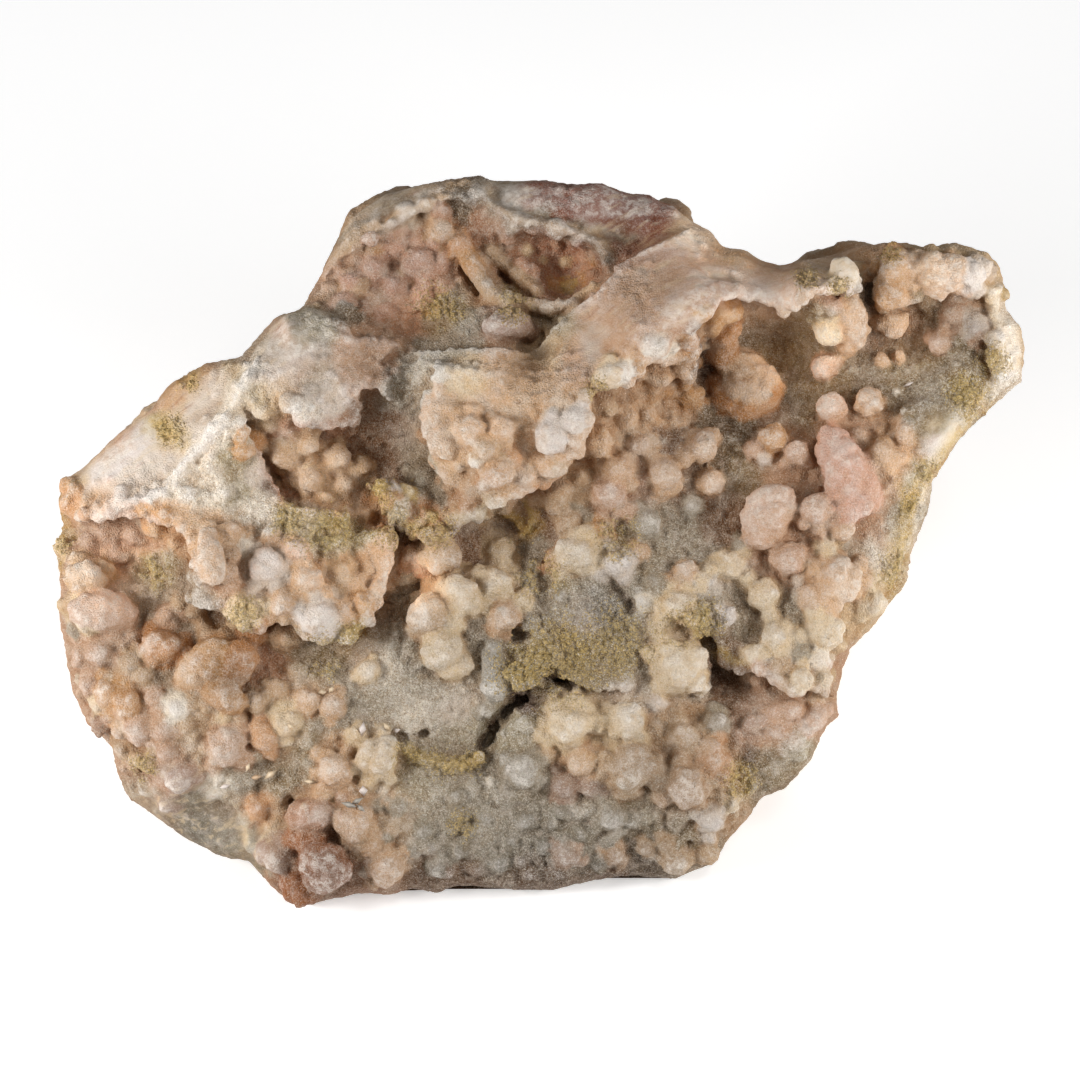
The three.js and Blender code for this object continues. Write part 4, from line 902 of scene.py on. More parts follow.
# Spots of colour on the ground between the lumps: a, b, reach.
GROUND: dict[Tint, tuple[Spot, ...]] = {
    # brown; the first three spots, along the bottom edge, are painted shade under the rim
    Tint.BROWN: (
        (0, 3.6, 5), (-14, 4, 5), (12, 5, 4), (-28, 70, 5), (-24.6, 74, 3.4), (-12, 53, 4),
        (-50, 38, 5), (29, 38, 4), (-35, 52, 2), (4, 61, 3), (12, 61, 3), (22, 66, 4), (30, 60, 4),
        (36, 77, 3), (30, 33, 3), (-8, 57, 3),
    ),
    # painted shade in the crevices, in the cracks and under the lip of the ridge
    Tint.DEEP: (
        (-34.4, 73, 1.2), (-42, 65, 1.2), (27, 36, 2), (-24, 82.6, 1.2),
        (-6, 68, 1.4), (-7.4, 28, 1.2), (-3, 32.4, 1.4), (3, 35, 1), (26, 84, 3), (-18, 50.4, 1.2),
        (32.6, 22.4, 1.4), (16, 8, 1.6), (25, 88, 3),
    ),
    Tint.SALMON: (
        (-38, 70, 5), (-34, 65, 4), (-31, 72, 3), (4, 99, 5), (-22, 98, 6), (-44, 36, 4),
        (-32, 12, 5), (-30, 4, 5), (-9, 105.6, 2.8), (14, 64, 4), (2, 103, 4), (45, 94, 3),
        (-66, 30, 4), (-58, 22, 4),
    ),
    Tint.ROSE: (
        (-67, 53, 4), (-63, 56, 3), (-66, 72, 3), (-60, 78, 2), (-40, 88, 2.4), (-37, 83, 3),
        (-66, 42, 6), (-70, 33, 5), (-62, 25, 6), (-27, 84, 4), (-22, 100, 6), (10, 88, 7),
        (22, 94, 8), (36, 97, 6), (-34, 97, 4), (-64, 60, 4), (40, 56, 6), (48, 60, 6), (57, 90, 4),
        (64, 95, 4), (36, 28, 5), (44, 28, 3), (46, 37, 4), (-45, 52, 4), (38, 68, 5), (8, 93, 4),
        (48, 74, 4),
    ),
    Tint.MAUVE: (
        (-66, 26, 3), (33, 29, 4), (28, 97, 4), (-6, 89, 3), (20, 99, 4), (52, 88, 4),
    ),
    Tint.PEACH: (
        (-70, 62, 4), (-56, 80, 4), (-47, 55, 4), (-3, 80, 6), (-8, 75, 6), (2, 75, 5),
        (-28, 50, 5), (-40, 50, 5), (14, 82, 4), (20, 82, 4), (-9, 66, 4), (-55, 60, 3), (7, 68, 4),
        (-10, 95, 2), (34, 92, 4), (52, 100, 4), (-29, 24, 4), (54, 70, 4), (-32, 46, 4),
    ),
    Tint.CREAM: (
        (-12, 80, 4), (-9, 62, 3), (66, 100, 5), (73, 88, 4), (50, 48, 4), (60, 98, 4), (71, 96, 3),
        (-44, 78, 4), (0, 86, 3), (19, 42, 4), (8, 27, 4), (-14, 70, 4), (56, 55, 3), (44, 42, 4),
    ),
    Tint.WHITE: (
        (-48.6, 73.4, 1.8), (-50.4, 65.6, 2.8), (-53, 63.4, 2.4), (-44, 61, 2.6), (73.6, 91, 2.4),
        (-45.4, 75.4, 1.8), (-17, 81.4, 2.4), (-19.6, 78.6, 1.8), (-36, 76, 2),
        (18, 86.4, 2.2), (-24, 37, 4), (-20, 31, 4), (-37, 55.4, 2.4), (-9.4, 67.4, 2),
        (72.6, 81, 2), (51, 54, 2.2), (-14, 34, 3), (24, 33, 2), (-26, 26.8, 2), (14, 31, 2),
        (-9.2, 11.6, 1.6), (-50.4, 18.4, 1.8), (65, 76, 1.8),
    ),
    Tint.GREY: (
        (-17, 35, 6), (-24, 32, 6), (-44, 22, 3.4), (-47, 24, 3), (10, 47, 5), (14, 40, 5),
        (-5, 45, 4), (0, 50, 4), (18, 58, 5), (-17, 66, 3), (-18, 71, 3), (-20, 49, 3),
        (-22, 79, 2.4), (-14, 18, 6), (8, 14, 5), (16, 36, 4), (24, 48, 4), (-32, 37, 5),
        (-20, 40, 5), (31, 46, 4), (20, 54, 4), (-4, 14, 6), (-30, 30, 4), (39, 44, 4),
        (-16, 14, 5), (56, 60, 3), (-12, 22, 3), (47, 55, 3), (60, 80, 3),
    ),
    Tint.LILAC: (
        (-65, 67, 5), (-62, 71, 2.4), (-50, 78, 3), (-53, 74, 4), (-44, 66, 2.4), (-58, 69, 4),
        (-63, 49, 3), (-9, 77, 3), (8, 86, 2), (-66, 54, 2.4), (-36, 60, 2.4), (-22, 62, 2),
        (-37, 84, 3.4), (-41, 82, 3), (-33, 80, 3), (-70, 60, 3), (-64, 63, 3.4), (-68, 66, 3),
        (24, 103.4, 2.4), (62, 71, 2.4), (72.4, 88, 2.4), (57, 56, 2.4), (34, 94.4, 3),
        (-20, 73, 3), (-28, 37, 3), (14, 34, 3), (8, 45, 3), (26, 50, 3), (-12, 31, 3),
    ),
    Tint.SLATE: (
        (-17, 82.6, 3.2), (-19, 78, 2.6), (-11, 88.4, 2.6), (-16.6, 74, 2), (26, 52, 3),
        (8, 103.6, 1.6), (-40, 30, 2),
    ),
    Tint.PALE_OLIVE: (
        (-46.8, 68.6, 3), (-45.6, 64, 2.2), (-44.4, 79.6, 2.4), (-30, 57, 2.4),
        (-2, 20, 3), (-18, 20, 4), (4, 90, 3), (-36, 90, 3), (58, 57, 3),
        (60, 66, 3), (64, 74, 3), (-34, 57, 3), (40, 24, 3), (-10, 28, 4), (14, 16, 4),
    ),
    Tint.OLIVE: (
        (44, 84, 8), (56, 86, 7), (36, 84, 5), (60, 75, 3), (-60.4, 51.4, 3), (-14, 92, 3),
        (3, 38, 4), (12, 57, 4), (26, 8, 4), (36, 21, 4), (-48, 66.4, 2), (-33, 39, 4), (22, 10, 4),
        (32, 67, 4), (18, 53, 3), (-40, 20, 3), (42, 90, 4), (2, 91.6, 2), (66, 84, 4), (60, 92, 3),
        (33, 44, 3), (-48, 40, 3), (68, 86, 3), (10, 38, 4), (-36, 24, 3),
    ),
    Tint.MOSS: (
        (34, 89, 4), (38, 80, 4), (50, 82, 4), (30, 76, 3), (28, 40, 2.4), (14, 8, 3),
        (-12, 108.6, 2), (1, 107, 2), (13, 104.4, 2), (-30, 92, 2), (18, 7, 3), (-37, 89.8, 1.8),
        (27, 68, 3),
    ),
    Tint.YELLOW: (
        (-58, 73.8, 2.6), (-54.4, 81.4, 1.8), (-54.6, 72.4, 2), (-45.4, 45.4, 1.6),
        (68.6, 77.6, 1.4), (61, 68, 2), (57, 63, 1.8), (-16, 92.6, 1.6), (31, 19.6, 2),
        (-29, 42.6, 1.6), (-74.4, 57, 2.2), (-72, 64.6, 1.6), (-32, 58.4, 1.8), (-31, 39.4, 2),
        (55, 49, 1.8), (-4, 92.6, 1.8), (70, 84, 2),
    ),
    Tint.SULFUR: (
        (0, 38, 3.4), (-5, 37, 3), (7, 39.4, 3.4), (13, 38.4, 3), (12, 41.6, 3), (66, 79, 3),
        (-33, 38.6, 3), (-34, 58.6, 3), (-38, 60, 2), (3, 51, 2.4), (12, 57, 2.4), (-61, 51.6, 2.6),
        (-29, 58, 2.4), (25, 45, 2),
    ),
    Tint.STONE: (
        (-6, 11, 6), (4, 11, 6), (-14, 12, 5), (-53, 12.6, 5), (-47, 10.6, 3), (-12, 18, 5),
        (12, 12, 5), (-2, 16, 4),
    ),
    Tint.TAUPE: (
        (-57, 13, 3), (-56, 45, 4), (-54, 31, 3), (-62, 46, 3), (-64, 38, 3), (-58, 35, 3),
        (-65, 57, 3), (-50, 14.6, 3), (-38, 85, 4), (-35, 81, 3), (-22, 107, 4), (-6, 110, 4),
        (-42, 86, 3), (-62, 18, 3), (50, 97, 3),
    ),
    Tint.TAN: (
        (23, 104.6, 3.4), (-41, 26, 4), (-36, 34, 4), (-24, 14, 5), (-54, 28, 5), (-44, 31, 4),
        (24, 26, 5), (20, 20, 5), (42, 35, 4), (-41, 80, 3), (30, 100, 4), (42, 98, 4),
        (-28, 104, 3), (-16, 111, 3), (27, 14, 4), (-38, 14, 4), (20, 30, 4), (14, 25, 4),
        (-67, 70, 3),
    ),
    Tint.RUST: (
        (12, 107.6, 6), (17, 107, 4), (6, 108.6, 5), (-1, 110, 3), (16, 104.6, 3),
        (5, 99, 4), (2, 102.6, 3), (6.6, 101.4, 2),
    ),
    Tint.ORANGE: (
        (-66, 63, 3), (-18, 61, 2), (-43, 15, 2.4), (-7, 70, 2), (3, 66, 3), (-73, 60, 2),
        (-26, 61, 2), (-50, 33, 3), (-12, 64, 2),
    ),
}

# Lines of colour: tint, width and the line.
STREAKS: tuple[tuple[Tint, float, Line], ...] = (
    # white crest of the shoulder
    (Tint.WHITE, 1.2, Line((
        (-62, 62.6), (-58, 63.7), (-54, 68.7), (-50.6, 73.4), (-47.3, 78), (-44, 83.3), (-43, 86),
    ))),
    (Tint.WHITE, 0.9, Line(((-58, 63.7), (-53, 63), (-49, 61.6), (-45.4, 60), (-42, 59.4)))),
    # sulfur along the shelf, the rib and the right rind
    (Tint.YELLOW, 1.1, Line(((-27, 65.6), (-23.6, 61.2), (-20, 59), (-17, 58.4), (-16, 56.6)))),
    (Tint.YELLOW, 1.0, Line(((-4, 59.4), (-2.4, 56.8), (-0.6, 58.6), (-1, 61.6)))),
    (Tint.YELLOW, 1.0, Line(((-24, 26), (-20, 23.8), (-16, 22.2), (-12, 22), (-8.6, 23.4)))),
    (Tint.WHITE, 1.3, Line((
        (70, 97.6), (72.6, 92), (73.2, 86), (71.4, 81), (67, 76.6), (63, 72), (60.4, 66.6),
        (58.2, 60), (56.8, 54), (55.4, 49),
    ))),
    (Tint.YELLOW, 1.1, Line((
        (69, 80.4), (65.6, 74.6), (61, 67.4), (57.2, 63), (56.2, 57), (55.4, 50), (52.8, 47),
    ))),
    (Tint.YELLOW, 0.9, Line(((-29.4, 41.6), (-27, 44.4), (-26, 48)))),
    (Tint.YELLOW, 1.0, Line(((-75, 50), (-74.6, 56), (-74.4, 62), (-70.6, 66.6)))),
    (Tint.YELLOW, 0.9, Line(((-11, 100.4), (-9.2, 98), (-7.6, 95.4), (-5, 93.4), (-1, 92.4)))),
    (Tint.YELLOW, 0.8, Line(((22, 43.6), (26, 40.4), (29, 38), (33, 37.4)))),
    # dark bands of the bare matrix round the dome
    (Tint.MOSS, 1.0, Line((
        (-9, 109), (-6, 107.2), (-2, 105.6), (3, 104.4), (7, 103), (10, 100), (11, 98),
    ))),
    (Tint.SLATE, 0.6, Line(((-6, 109), (0, 107.2), (8, 104.4), (16, 103.2)))),
    (Tint.MOSS, 0.8, Line(((-34.6, 99), (-31, 103), (-25, 106.8), (-18, 110.4), (-12, 111.4)))),
    (Tint.TAN, 0.8, Line(((-33, 99.6), (-28.6, 103.4), (-22, 107.4), (-17, 110), (-12.6, 110.4)))),
    (Tint.TAN, 0.7, Line(((-8, 108), (-4, 106.6), (2, 105.4), (8, 104), (11.4, 100.4)))),
    (Tint.MOSS, 0.5, Line(((25, 97.4), (28, 97.5), (31, 96.6)))),
    (Tint.CREAM, 0.8, Line(((-45.6, 8), (-45.2, 11), (-46, 14)))),
    # thin cracks darkened with painted shade
    (Tint.DEEP, 0.5, Line((
        (-9.6, 22.8), (-8.4, 26), (-6.4, 29.4), (-4.8, 31.8), (-1.5, 32.5), (1.4, 32.7),
    ))),
    (Tint.DEEP, 0.4, Line(((-0.4, 35.1), (1.4, 35.8), (3.2, 35.5), (4.8, 34.2), (7, 34)))),
    (Tint.DEEP, 0.4, Line(((9.8, 50.6), (12, 49.6), (13.2, 48.4), (14.4, 46.4), (15.4, 44)))),
)

# Where the crust is paler, or darker where negative: a, b, reach and share. Partly the crust's own tone,
# partly painted light and shade: darker along the bottom edge where the rim turns under, paler in pockets
# that lie in shade.
TONE_AND_PAINTED_LIGHT: tuple[tuple[float, float, float, float], ...] = (
    (-62, 66, 11, 0.08), (-49, 68, 8, 0.2), (-66, 52, 6, 0.42), (-31, 69, 8, 0.3),
    (-24, 72, 4, -0.1), (-19, 50, 3.4, 2.0), (-66, 57, 6, 0.25), (-32, 55, 7, 0.55),
    (37, 86, 4, 0.42), (-8, 76, 5, 0.18), (-63, 51, 6, 0.5), (-46, 41, 6, 0.2), (42, 85, 9, 0.82),
    (57, 86, 5, 0.4), (66, 90, 4, -0.4), (-31, 66, 5, 0.15), (4, 99, 5, 0.5), (-17, 82, 5, 0.15),
    (-21, 79, 2.4, -0.15), (8, 87, 6, 0.05), (22, 93, 6, -0.18), (-38, 84, 6, 0.06),
    (58, 66, 5, 0.3), (70, 97, 5, 0.2), (61, 98, 4, 0.25), (46, 50, 5, 0.12), (27, 103, 7, 0.9),
    (34, 100, 5, 0.15), (50, 88, 5, -0.3), (66, 80, 5, 0.02), (73, 87, 4, 0.25), (14, 107, 6, -0.3),
    (-6, 110, 7, -0.22), (-24, 108, 6, -0.02), (0, 3, 9, -0.5), (-15, 3, 7, -0.35),
    (14, 4, 7, -0.46), (-33, 5, 8, -0.56), (-53, 12, 7, -0.56), (-48, 36, 5, -0.52),
    (31, 83, 6, -0.38), (22, 18, 9, -0.36), (10, 46, 5, -0.58), (2, 38, 5, -0.16),
    (14, 22, 6, -0.15), (-22, 97, 7, -0.3), (-18, 91, 4, 0.85), (-60, 40, 5, 0.15),
    (-66, 40, 7, -0.22), (-60, 25, 7, -0.12), (-10, 62, 4, -0.32), (-22, 58.5, 2.4, -0.28),
    (-1, 14, 9, -0.18), (30, 66, 6, 0.24), (-44, 22, 3.4, 0.05), (-38, 48, 4, -0.18),
    (-18, 36, 6, -0.14), (-8, 42, 6, -0.14), (-8, 24, 7, -0.12), (34, 96, 7, -0.1),
    (20, 70, 7, -0.12), (4, 56, 7, -0.1), (-26, 22, 6, -0.12),
)

# Where sulfur grains are dusted: a, b, reach.
DUSTED: tuple[Spot, ...] = (
    (-57, 73.4, 2.2), (-54.4, 81.6, 1.8), (-45.4, 45.4, 2.4), (3, 38, 6), (-3, 37, 4), (12, 41, 5),
    (66, 79, 3), (60, 67, 2), (57, 62, 1.6), (-16, 92.6, 3), (31, 19.6, 2.4), (-29, 42.6, 1.6),
    (-74.4, 57, 2.4), (-33, 58.4, 4), (-38, 59.6, 3), (-33, 38.5, 3), (55, 52, 3), (-4, 92.6, 2.4),
    (22, 43, 2.6), (-20, 23.4, 2.2), (-15, 22.2, 2.2), (-11, 22.2, 2), (-22, 59, 3.4),
    (-2.4, 58.6, 2.6), (25, 44, 3), (-16, 58, 2.6), (54, 101, 1.5), (41, 97, 1.6), (-60.5, 51.6, 3),
    (-61.5, 21.5, 2), (70, 84, 2.4), (-12, 12.6, 2), (12, 57, 3), (0, 51, 3), (-25, 64, 2.4),
    (-14, 92, 2), (8.6, 79.6, 1.6), (46, 95.4, 1.6),
)

# Where the face is bare and smooth rather than lumpy: a, b, reach.
SMOOTH: tuple[Spot, ...] = (
    (-54, 12, 9), (-46, 10, 6), (-39, 87, 4.5), (24, 95, 8), (36, 98, 6), (10, 89, 6),
    (12, 107, 6), (-4, 110, 5), (-22, 109, 6), (46, 99, 4), (-62, 73, 6), (-55, 79, 6), (62, 74, 3),
    (-34, 104, 5), (20, 102, 6), (-68, 69, 5), (-60, 14, 5),
)


PLAIN_GRIT = 0.15  # how coarse the druse is on all other tints
UNTINTED_GRIT = 0.5  # and where no spot of ground colour reaches

# How coarse the druse of each tint is, from 0 to 1.
GRITTY: dict[Tint, float] = {
    Tint.GREY: 0.45, Tint.SLATE: 0.45, Tint.OLIVE: 0.35, Tint.MOSS: 0.35, Tint.PALE_OLIVE: 0.45,
    Tint.WHITE: 0.8, Tint.SULFUR: 1.0, Tint.YELLOW: 0.8, Tint.STONE: 0.12, Tint.TAUPE: 0.35,
    Tint.BROWN: 0.25,
}

# Where small round lumps are packed between the big ones: a, b, reach.
NOBBLY: tuple[Spot, ...] = (
    (-66, 40, 12), (-62, 28, 10), (-54, 34, 9), (-48, 26, 8), (-58, 20, 6), (-36, 30, 7),
    (-34, 14, 9), (-28, 6, 8), (-40, 8, 6), (-24, 12, 6), (-66, 58, 7), (-62, 52, 7), (-50, 54, 6),
    (-42, 50, 8), (-32, 47, 7), (-50, 66, 4), (-40, 74, 4), (-36, 66, 3), (-22, 98, 8),
    (-16, 104, 5), (-28, 97, 6), (3, 99, 5), (-13, 71, 5), (-5, 66, 5), (12, 71, 5), (14, 70, 8),
    (22, 70, 7), (8, 60, 7), (-12, 54, 8), (-8, 48, 7), (-16, 42, 6), (6, 52, 6), (20, 50, 6),
    (22, 40, 6), (30, 50, 6), (36, 60, 7), (42, 52, 8), (46, 62, 6), (44, 40, 7), (36, 42, 5),
    (4, 26, 8), (14, 24, 9), (24, 22, 8), (-2, 18, 6), (22, 10, 7), (38, 28, 6), (46, 88, 6),
    (56, 96, 6), (62, 90, 7), (66, 96, 6), (50, 76, 6), (54, 70, 5), (18, 82, 5), (34, 72, 6),
    (-14, 62, 5), (-20, 55, 5), (-58, 60, 5), (-10, 8, 8), (6, 8, 8),
)

# Where the lumps stand apart on open ground: a, b, reach.
OPEN: tuple[Spot, ...] = (
    (30, 65, 8), (38, 77, 8), (54, 82, 9), (37, 50, 5), (39, 87, 7), (20, 57, 4), (62, 74, 6),
    (50, 56, 3), (58, 60, 5), (32, 46, 4),
)


# Where the lumps stand prouder of the ground: a, b, reach.
PROUD: tuple[Spot, ...] = (
    (-23, 98, 7), (-14, 103, 4), (20, 8, 6), (20, 72, 8), (36, 62, 8), (10, 68, 6), (-33, 68, 6),
    (-46, 36, 7), (-31, 8, 6), (44, 76, 8), (56, 88, 7),
)


def near(spots: tuple[Spot, ...], a: Array, b: Array) -> Array:
    """How well each point lies within any of the spots, from 0 to 1."""
    shares = [np.exp(-(((a - x) ** 2 + (b - y) ** 2) / reach**2)) for x, y, reach in spots]
    return np.clip(1.6 * np.max(shares, axis=0) - 0.2, 0, 1)


def lump_rise(a: Array, b: Array) -> Array:
    """How high lumps stand above the ground at each point, in radii."""
    return LUMP_RISE + PROUD_RISE * near(PROUD, a, b)


def ground_tint(a: Array, b: Array) -> Array:
    """Colour of the ground between the lumps, with its grit as a fourth column."""
    total = np.zeros((len(a), 4))
    weight = np.full(len(a), FAINT)
    for tint, spots in GROUND.items():
        colour = np.array((*tint.value, GRITTY.get(tint, PLAIN_GRIT)))
        for spot_a, spot_b, reach in spots:
            share = np.exp(-GROUND_FALL * ((a - spot_a) ** 2 + (b - spot_b) ** 2) / reach**2)
            total += share[:, None] * colour
            weight += share
    return (total + FAINT * np.array((*Tint.TAUPE.value, UNTINTED_GRIT))) / weight[:, None]


def tone_and_painted_light(a: Array, b: Array) -> Array:
    """How much paler or darker the crust is, as a factor around 1: its own tone with painted light and
    shade.
    """
    shares = [
        share * np.exp(-((a - spot_a) ** 2 + (b - spot_b) ** 2) / reach**2)
        for spot_a, spot_b, reach, share in np.array(TONE_AND_PAINTED_LIGHT)
    ]
    return 1 + np.sum(shares, axis=0)


# ---------------------------------------------------------------- the stone


@dataclass
class Ball:
    """A rough ball that stands for a lump, made once and copied."""

    fineness: int
    noise: Noise = Noise(11)

    def template(self) -> tuple[Array, Array]:
        """Makes the ball and hands over its vertices and triangles."""
        ball = unit_ball(self.fineness)
        points, corners = read_points(ball), read_triangles(ball)
        mesh = ball.data
        bpy.data.objects.remove(ball)
        bpy.data.meshes.remove(mesh)
        return points, corners

    def copies(self, name: str, centres: Array, radii: Array) -> bpy.types.Object:
        """Sets roughened copies of the ball at the given places.

        Args:
            name: Name of the object that holds them all.
            centres: Places in the part, in millimetres.
            radii: Radius of each, in millimetres.

        Returns:
            The object.
        """
        points, corners = self.template()
        all_points = centres[:, None] + points[None] * radii[:, None, None]
        flat = all_points.reshape(-1, 3)
        size = np.repeat(radii, len(points))
        out = np.tile(points, (len(centres), 1))
        place = flat / size[:, None]
        rough = 0.12 * self.noise.at(place, 0.8) + 0.06 * self.noise.at(place, 0.4)
        flat = flat + out * (rough * size)[:, None]
        faces = corners[None] + np.arange(len(centres))[:, None, None] * len(points)
        return build_object(name, flat * MM, faces.reshape(-1, 3))


def build_object(name: str, points: Array, faces: Array) -> bpy.types.Object:
    """Makes a mesh object from rows of points, in metres, and rows of triangles."""
    mesh = bpy.data.meshes.new(name)
    mesh.vertices.add(len(points))
    mesh.vertices.foreach_set("co", points.astype(np.float32).ravel())
    mesh.loops.add(faces.size)
    mesh.loops.foreach_set("vertex_index", faces.astype(np.int32).ravel())
    mesh.polygons.add(len(faces))
    mesh.polygons.foreach_set("loop_start", np.arange(0, faces.size, 3, dtype=np.int32))
    mesh.update(calc_edges=True)
    mesh.validate()
    item = bpy.data.objects.new(name, mesh)
    bpy.context.scene.collection.objects.link(item)
    return item


DOWN = np.array([0, 0, -1.0])

# Patterns that roughen the surface: kind, size, strength, where, and the value left in place.
ROUGHNESS: tuple[tuple[str, float, float, str, float], ...] = (
    ("VORONOI", 1.3, -0.26, "lumpy", 0.35),
    ("VORONOI", 0.7, -0.16, "lumpy", 0.35),
    ("VORONOI", 0.9, -0.9, "dusted", 0.4),
    ("CLOUDS", 17.0, 12.0, "back", 0.5),
    ("CLOUDS", 6.0, 4.0, "back", 0.5),
    ("VORONOI", 9.0, -2.4, "back", 0.4),
    ("CLOUDS", 4.0, 0.9, "broken", 0.5),
    ("CLOUDS", 1.2, 0.3, "all", 0.5),
)


EXTENT_A, EXTENT_B = (-76, 76), (-1, 114)  # where the face lies, in millimetres
ROW_GAP = 0.87  # distance between rows of scattered lumps, as a share of their spacing


@dataclass
class Stone:
    """The stone itself: body, lumps and broken sides, fused in one closed mesh.

    Attributes:
        relief: The face and the body behind it.
        lumps: All lumps that have a tint of their own.
        body_fineness: How often the ball that makes the body is divided.
        voxel: Grain of the fused mesh, in millimetres.
        budget: Most triangles that the stone may have.
        large: Least radius of a ball that is made finest, in millimetres.
        small: Greatest radius of a ball that is made coarsest, in millimetres.
        sunk: Radius that a lump's ball gets, as a share of the lump's own.
        budding: Least radius of a lump that has buds on it, in millimetres.
        jitter: How far the scattered lumps stray, as a share of their spacing.
        rear_thrift: Share of the triangles behind the face that is given up first.
        rear_pull: How much rather the triangles behind the face are given up.
        spare: How far under the ground the body reaches until it is fused, in millimetres.
        seed: Seed of the places of the small lumps.
    """

    relief: Relief = Relief()
    lumps: list[Lump] = field(default_factory=lambda: Lump.named() + Lump.of_lobes())
    body_fineness: int = 8
    voxel: float = 0.32
    budget: int = 190_000
    large: float = 2.2
    small: float = 1.1
    sunk: float = 0.88
    budding: float = 0.9
    jitter: float = 0.38
    rear_thrift: float = 0.93
    rear_pull: float = 6.0
    spare: float = 0.6
    seed: int = 5

    def __post_init__(self) -> None:
        """Adds the offshoots."""
        self.lumps = self.lumps + self.offshoots()

    def offshoots(self) -> list[Lump]:
        """Smaller lumps round the feet of the large ones and between close neighbours."""
        chance = np.random.default_rng(self.seed + 1)
        grown = []
        least, greatest = (0, 0.7, 0.4), (2 * np.pi, 1.15, 0.62)
        for lump in Lump.named():
            if lump.radius <= 1.2:
                continue
            count = int(chance.integers(2, 5) + 1.3 * max(lump.radius - 1.4, 0))
            for turn, reach, share in chance.uniform(least, greatest, (count, 3)):
                a = lump.a + reach * lump.radius * math.cos(turn)
                b = lump.b + reach * lump.radius * math.sin(turn)
                grown.append(Lump(a, b, share * lump.radius, lump.tint))
        for first, second in itertools.combinations(Lump.named(), 2):
            reach = first.radius + second.radius
            if reach < math.hypot(first.a - second.a, first.b - second.b) < 1.4 * reach:
                small, large = sorted((first, second), key=lambda lump: lump.radius)
                place = (0.5 * (small.a + large.a), 0.5 * (small.b + large.b))
                grown.append(Lump(*place, 0.66 * small.radius, large.tint))
        a, b, radius = np.array([(lump.a, lump.b, lump.radius) for lump in grown]).T
        inside = self.relief.covers(a, b, 1.2 * radius) & (near(OPEN, a, b) < 0.5)
        return [lump for lump, kept in zip(grown, inside) if kept]

    def body(self) -> bpy.types.Object:
        """Makes the body, from a ball whose pole looks out of the face."""
        body = unit_ball(self.body_fineness)
        body.name = "specimen_stone"
        points = read_points(body)
        points /= np.linalg.norm(points, axis=1)[:, None]
        write_points(body, self.relief.body_points(points) * MM)
        for towards, reach in BREAKS:
            outward = np.array(towards, float)
            outward /= np.linalg.norm(outward)
            cut_away(body, outward * reach * MM, outward)
        cut_away(body, np.array([0, 0, -self.spare * MM]), DOWN)
        return body

    def grown(self) -> tuple[Array, Array]:
        """Lists all balls: lumps, buds on them, beads on the ledges and crumbs between.

        Returns:
            Centres in face coordinates and radii, in millimetres.
        """
        chance = np.random.default_rng(self.seed)
        a, b, radius = np.array([(lump.a, lump.b, lump.radius) for lump in self.lumps]).T
        c = self.relief.height(a, b) + lump_rise(a, b) * radius
        balls = [np.column_stack((a, b, c, self.sunk * radius))]
        budding = radius > self.budding
        for place, size in zip(np.column_stack((a, b, c))[budding], radius[budding]):
            count = int(chance.integers(3, 7) + 3.5 * max(size - 1.6, 0))
            turn = chance.uniform(0, 2 * np.pi, count)
            rise = chance.uniform(-0.05, 0.95, count)
            flat = np.sqrt(1 - rise**2)
            out = np.column_stack((np.cos(turn) * flat, np.sin(turn) * flat, rise))
            bud = size * chance.uniform(0.26, 0.54, count)
            balls.append(np.column_stack((place + out * (1.07 * size - bud)[:, None], bud)))
        balls += [self.beads(chance, ledge) for ledge in LEDGES if ledge.beads]
        balls += [
            self.scatter(chance, NOBBLY, spacing=2.5, size=(0.9, 1.8), lift=(-0.45, 0.25)),
            self.scatter(chance, NOBBLY, spacing=1.5, size=(0.5, 0.95), lift=(-0.3, 0.3)),
            self.scatter(
                chance, SMOOTH, spacing=1.35, size=(0.4, 0.85), lift=(-0.6, 0.0), instead=True
            ),
        ]
        rows = np.concatenate(balls)
        return rows[:, :3], rows[:, 3]

    def beads(self, chance: np.random.Generator, ledge: Ledge) -> Array:
        """Round beads that hang over a ledge's upper edge."""
        steps = ledge.line.steps(1.25 * ledge.beads)[1:-1]
        size = ledge.beads * chance.uniform(0.65, 1.45, len(steps))
        shift = chance.uniform(-0.25, 0.6, len(steps)) * size
        a, b = steps[:, 0] + shift * steps[:, 2], steps[:, 1] + shift * steps[:, 3]
        high = self.relief.height(steps[:, 0] + 0.7 * steps[:, 2], steps[:, 1] + 0.7 * steps[:, 3])
        return np.column_stack((a, b, high - chance.uniform(0.35, 0.9, len(steps)) * size, size))

    def scatter(
        self, chance: np.random.Generator, spots: tuple[Spot, ...], spacing: float, size: Place,
        lift: Place, instead: bool = False,
    ) -> Array:
        """Packs small lumps over some parts of the face.

        Args:
            chance: Source of the places.
            spots: The parts, as places and reaches.
            spacing: Distance between neighbours, in millimetres.
            size: Least and greatest radius, in millimetres.
            lift: Least and greatest height of their centres above the ground, in radii.
            instead: Whether they lie everywhere but on the spots.

        Returns:
            Rows of centres in face coordinates and radii.
        """
        a, b = np.meshgrid(np.arange(*EXTENT_A, spacing), np.arange(*EXTENT_B, spacing * ROW_GAP))
        a[1::2] += spacing / 2
        stray = (-self.jitter, self.jitter, a.size)
        a, b = (axis.ravel() + chance.uniform(*stray) * spacing for axis in (a, b))
        radius = chance.uniform(*size, len(a))
        inside = self.relief.covers(a, b, 1.3 * radius)
        share = near(spots, a, b) * (1 if instead else 1 - 0.9 * near(OPEN, a, b))
        keep = inside & (chance.uniform(0.1, 0.9, len(a)) < (1 - share if instead else share))
        a, b, radius = a[keep], b[keep], radius[keep]
        c = self.relief.height(a, b) + chance.uniform(*lift, len(a)) * radius
        return np.column_stack((a, b, c, radius))

